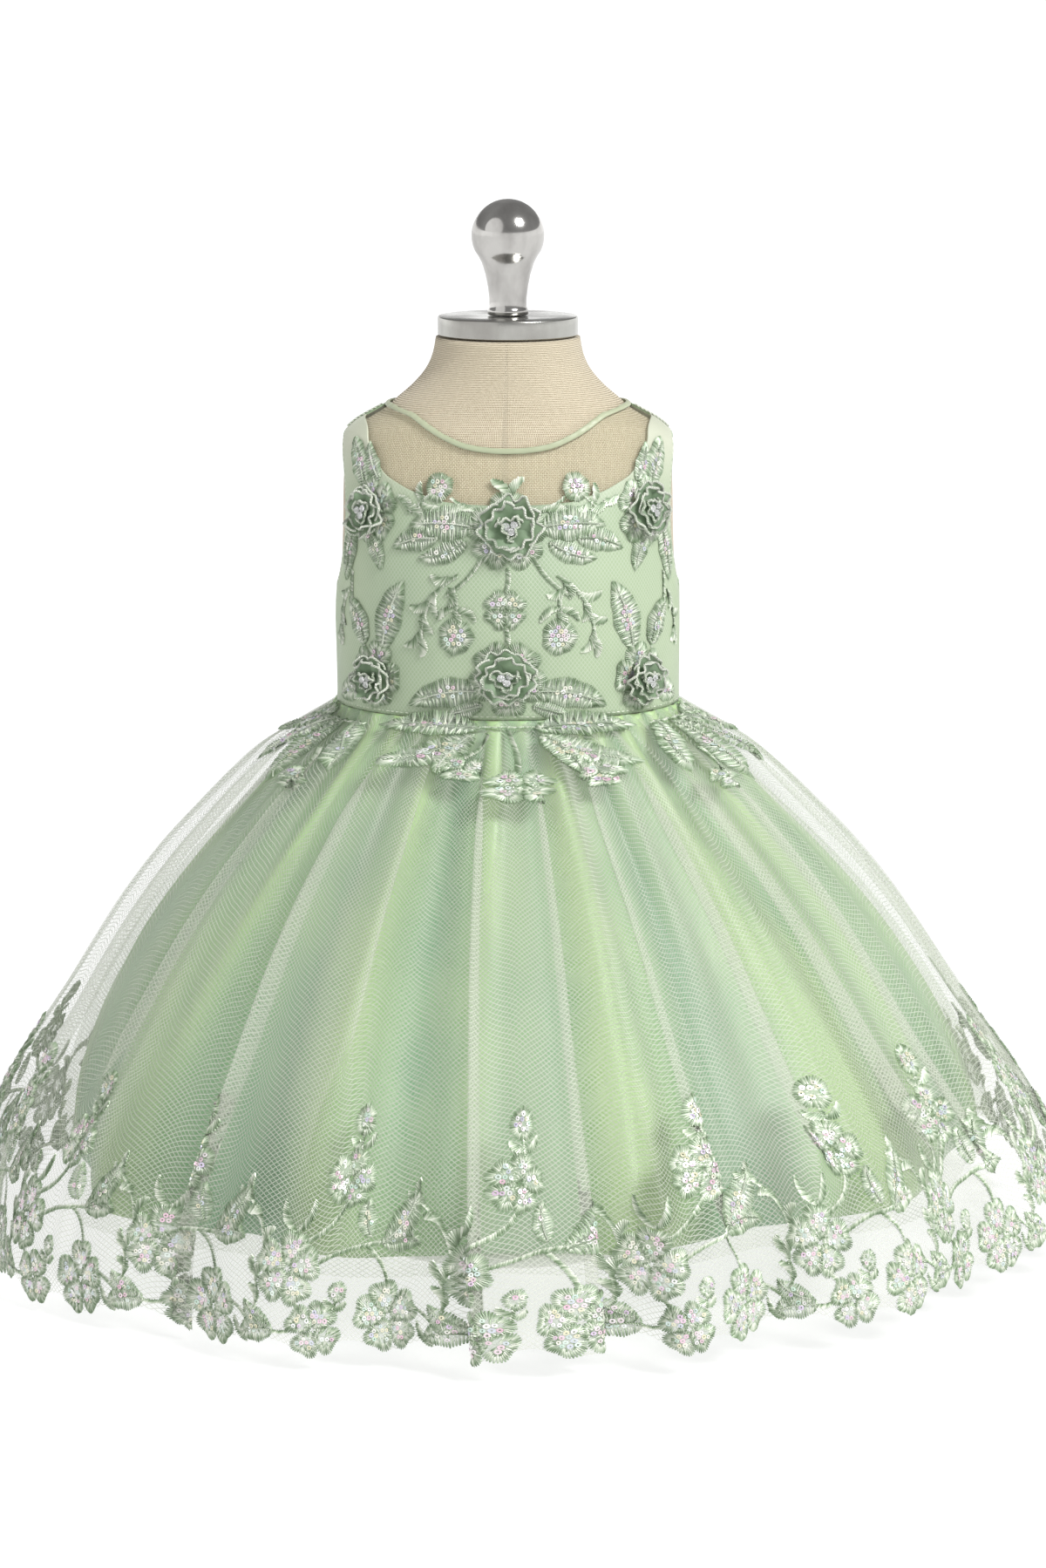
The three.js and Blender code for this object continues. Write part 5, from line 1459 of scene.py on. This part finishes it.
def stones():
    """Three small cut stones in the heart of each rose."""
    points, groups, count = [], [], 0
    cells = grid(STONE_SIDES, len(STONE_PROFILE), True).tolist()
    top = (len(STONE_PROFILE) - 1) * STONE_SIDES
    caps = [list(range(STONE_SIDES - 1, -1, -1)), list(range(top, top + STONE_SIDES))]
    for _, s, z, _ in ROSES:
        for across, up, radius in STONES:
            for share, height in STONE_PROFILE:
                flat = circle(STONE_SIDES) * radius * share + (s + across, z + up)
                points.append(off_body(flat, LACE_OUT + PETAL_OUT + STONE_OUT + height))
            groups.extend([[i + count for i in face]] for face in cells + caps)
            count += top + STONE_SIDES
    made = new_piece("rose_stones", np.concatenate(points), groups, [STONE])
    made.data.polygons.foreach_set("use_smooth", np.zeros(len(made.data.polygons), bool))


# The surroundings
FLOOR_GLOW = 0.8
SKY_LIGHT = 0.35
PAPER_REACH, PAPER_RISE, PAPER_SIDES = 90.0, 18.0, 48
VIEW_FROM, VIEW_DOWN, VIEW_LENS = (0.0078, -2.458, 0.6975), 10.5, 108.8


def sun_light(name, azimuth, elevation, strength, spread):
    """A broad soft light far away; the azimuth runs from the front towards +X."""
    data = bpy.data.lights.new(name, "SUN")
    data.energy, data.angle = strength, math.radians(spread)
    made = bpy.data.objects.new(name, data)
    bpy.context.scene.collection.objects.link(made)
    made.rotation_euler = (math.radians(90 - elevation), 0.0, math.radians(azimuth))
    return made


def studio_paper(name, points, faces, glow):
    """White paper, in metres, that shines a little so that it stays white."""
    mesh = bpy.data.meshes.new(name)
    mesh.from_pydata(points, [], faces)
    made = bpy.data.objects.new(name, mesh)
    bpy.context.scene.collection.objects.link(made)
    look = Look(f"{name}_paper")
    colour = look.mixed(look.noise(3, 2), (0.27, 0.27, 0.27), (0.29, 0.29, 0.29))
    shine = {"Specular IOR Level": 0.1, "Emission Color": (1.0, 1.0, 1.0), "Emission Strength": glow}
    mesh.materials.append(look.finish(colour, 0.95, more=shine))


def surroundings():
    reach = PAPER_REACH
    corners = [(-reach, -reach, 0), (reach, -reach, 0), (reach, reach, 0), (-reach, reach, 0)]
    studio_paper("floor", corners, [(0, 1, 2, 3)], FLOOR_GLOW)
    points = [(*spot, z) for z in (0.0, PAPER_RISE) for spot in 0.98 * reach * circle(PAPER_SIDES)]
    studio_paper("backdrop", points, grid(PAPER_SIDES, 2, True)[:, ::-1].tolist(), 1.0)

    world = bpy.data.worlds.new("studio")
    bpy.context.scene.world = world
    world.use_nodes = True
    world.node_tree.nodes["Background"].inputs[0].default_value = (1.0, 1.0, 1.0, 1)
    world.node_tree.nodes["Background"].inputs[1].default_value = SKY_LIGHT
    sun_light("key", 48, 42, 3.45, 20)
    sun_light("fill", -50, 24, 0.6, 60)

    data = bpy.data.cameras.new("camera")
    data.sensor_fit, data.sensor_width, data.sensor_height = "VERTICAL", 36.0, 36.0
    data.lens = VIEW_LENS
    camera = bpy.data.objects.new("camera", data)
    bpy.context.scene.collection.objects.link(camera)
    camera.location = VIEW_FROM
    camera.rotation_euler = (math.radians(90 - VIEW_DOWN), 0.0, 0.0)
    bpy.context.scene.camera = camera
    bpy.context.scene.view_settings.view_transform = "Standard"


surroundings()
build_form()
front_panel()
yoke()
back_panel(1, "back_right_satin", "bodice_back_right")
back_panel(-1, "back_left_satin", "bodice_back_left")
binding()
placket()
for number in range(1, BUTTONS + 1):
    button(number)
for side, start, end in (("front", -90.0, 90.0), ("back", 90.0, 270.0)):
    satin_skirt(side, start, end)
    plain_net_skirt(side, start, end)
    lace_net_skirt(side, start, end)
for quarter, name in enumerate(("front", "right", "back", "left")):
    hem_lace(name, quarter * REPEATS // 4 - 2)
middle_lace("bodice", on_bodice, BODICE_MIDDLE, BODICE_BESIDE)
for side in ("right", "left"):
    side_lace("bodice", on_bodice, side, BODICE_SIDE)
middle_lace("waist", on_waist, WAIST_MIDDLE, WAIST_BESIDE)
for side in ("right", "left"):
    side_lace("waist", on_waist, side, WAIST_SIDE, WAIST_CORDS)
sewing()
for row in ROSES:
    rose(*row)
stones()
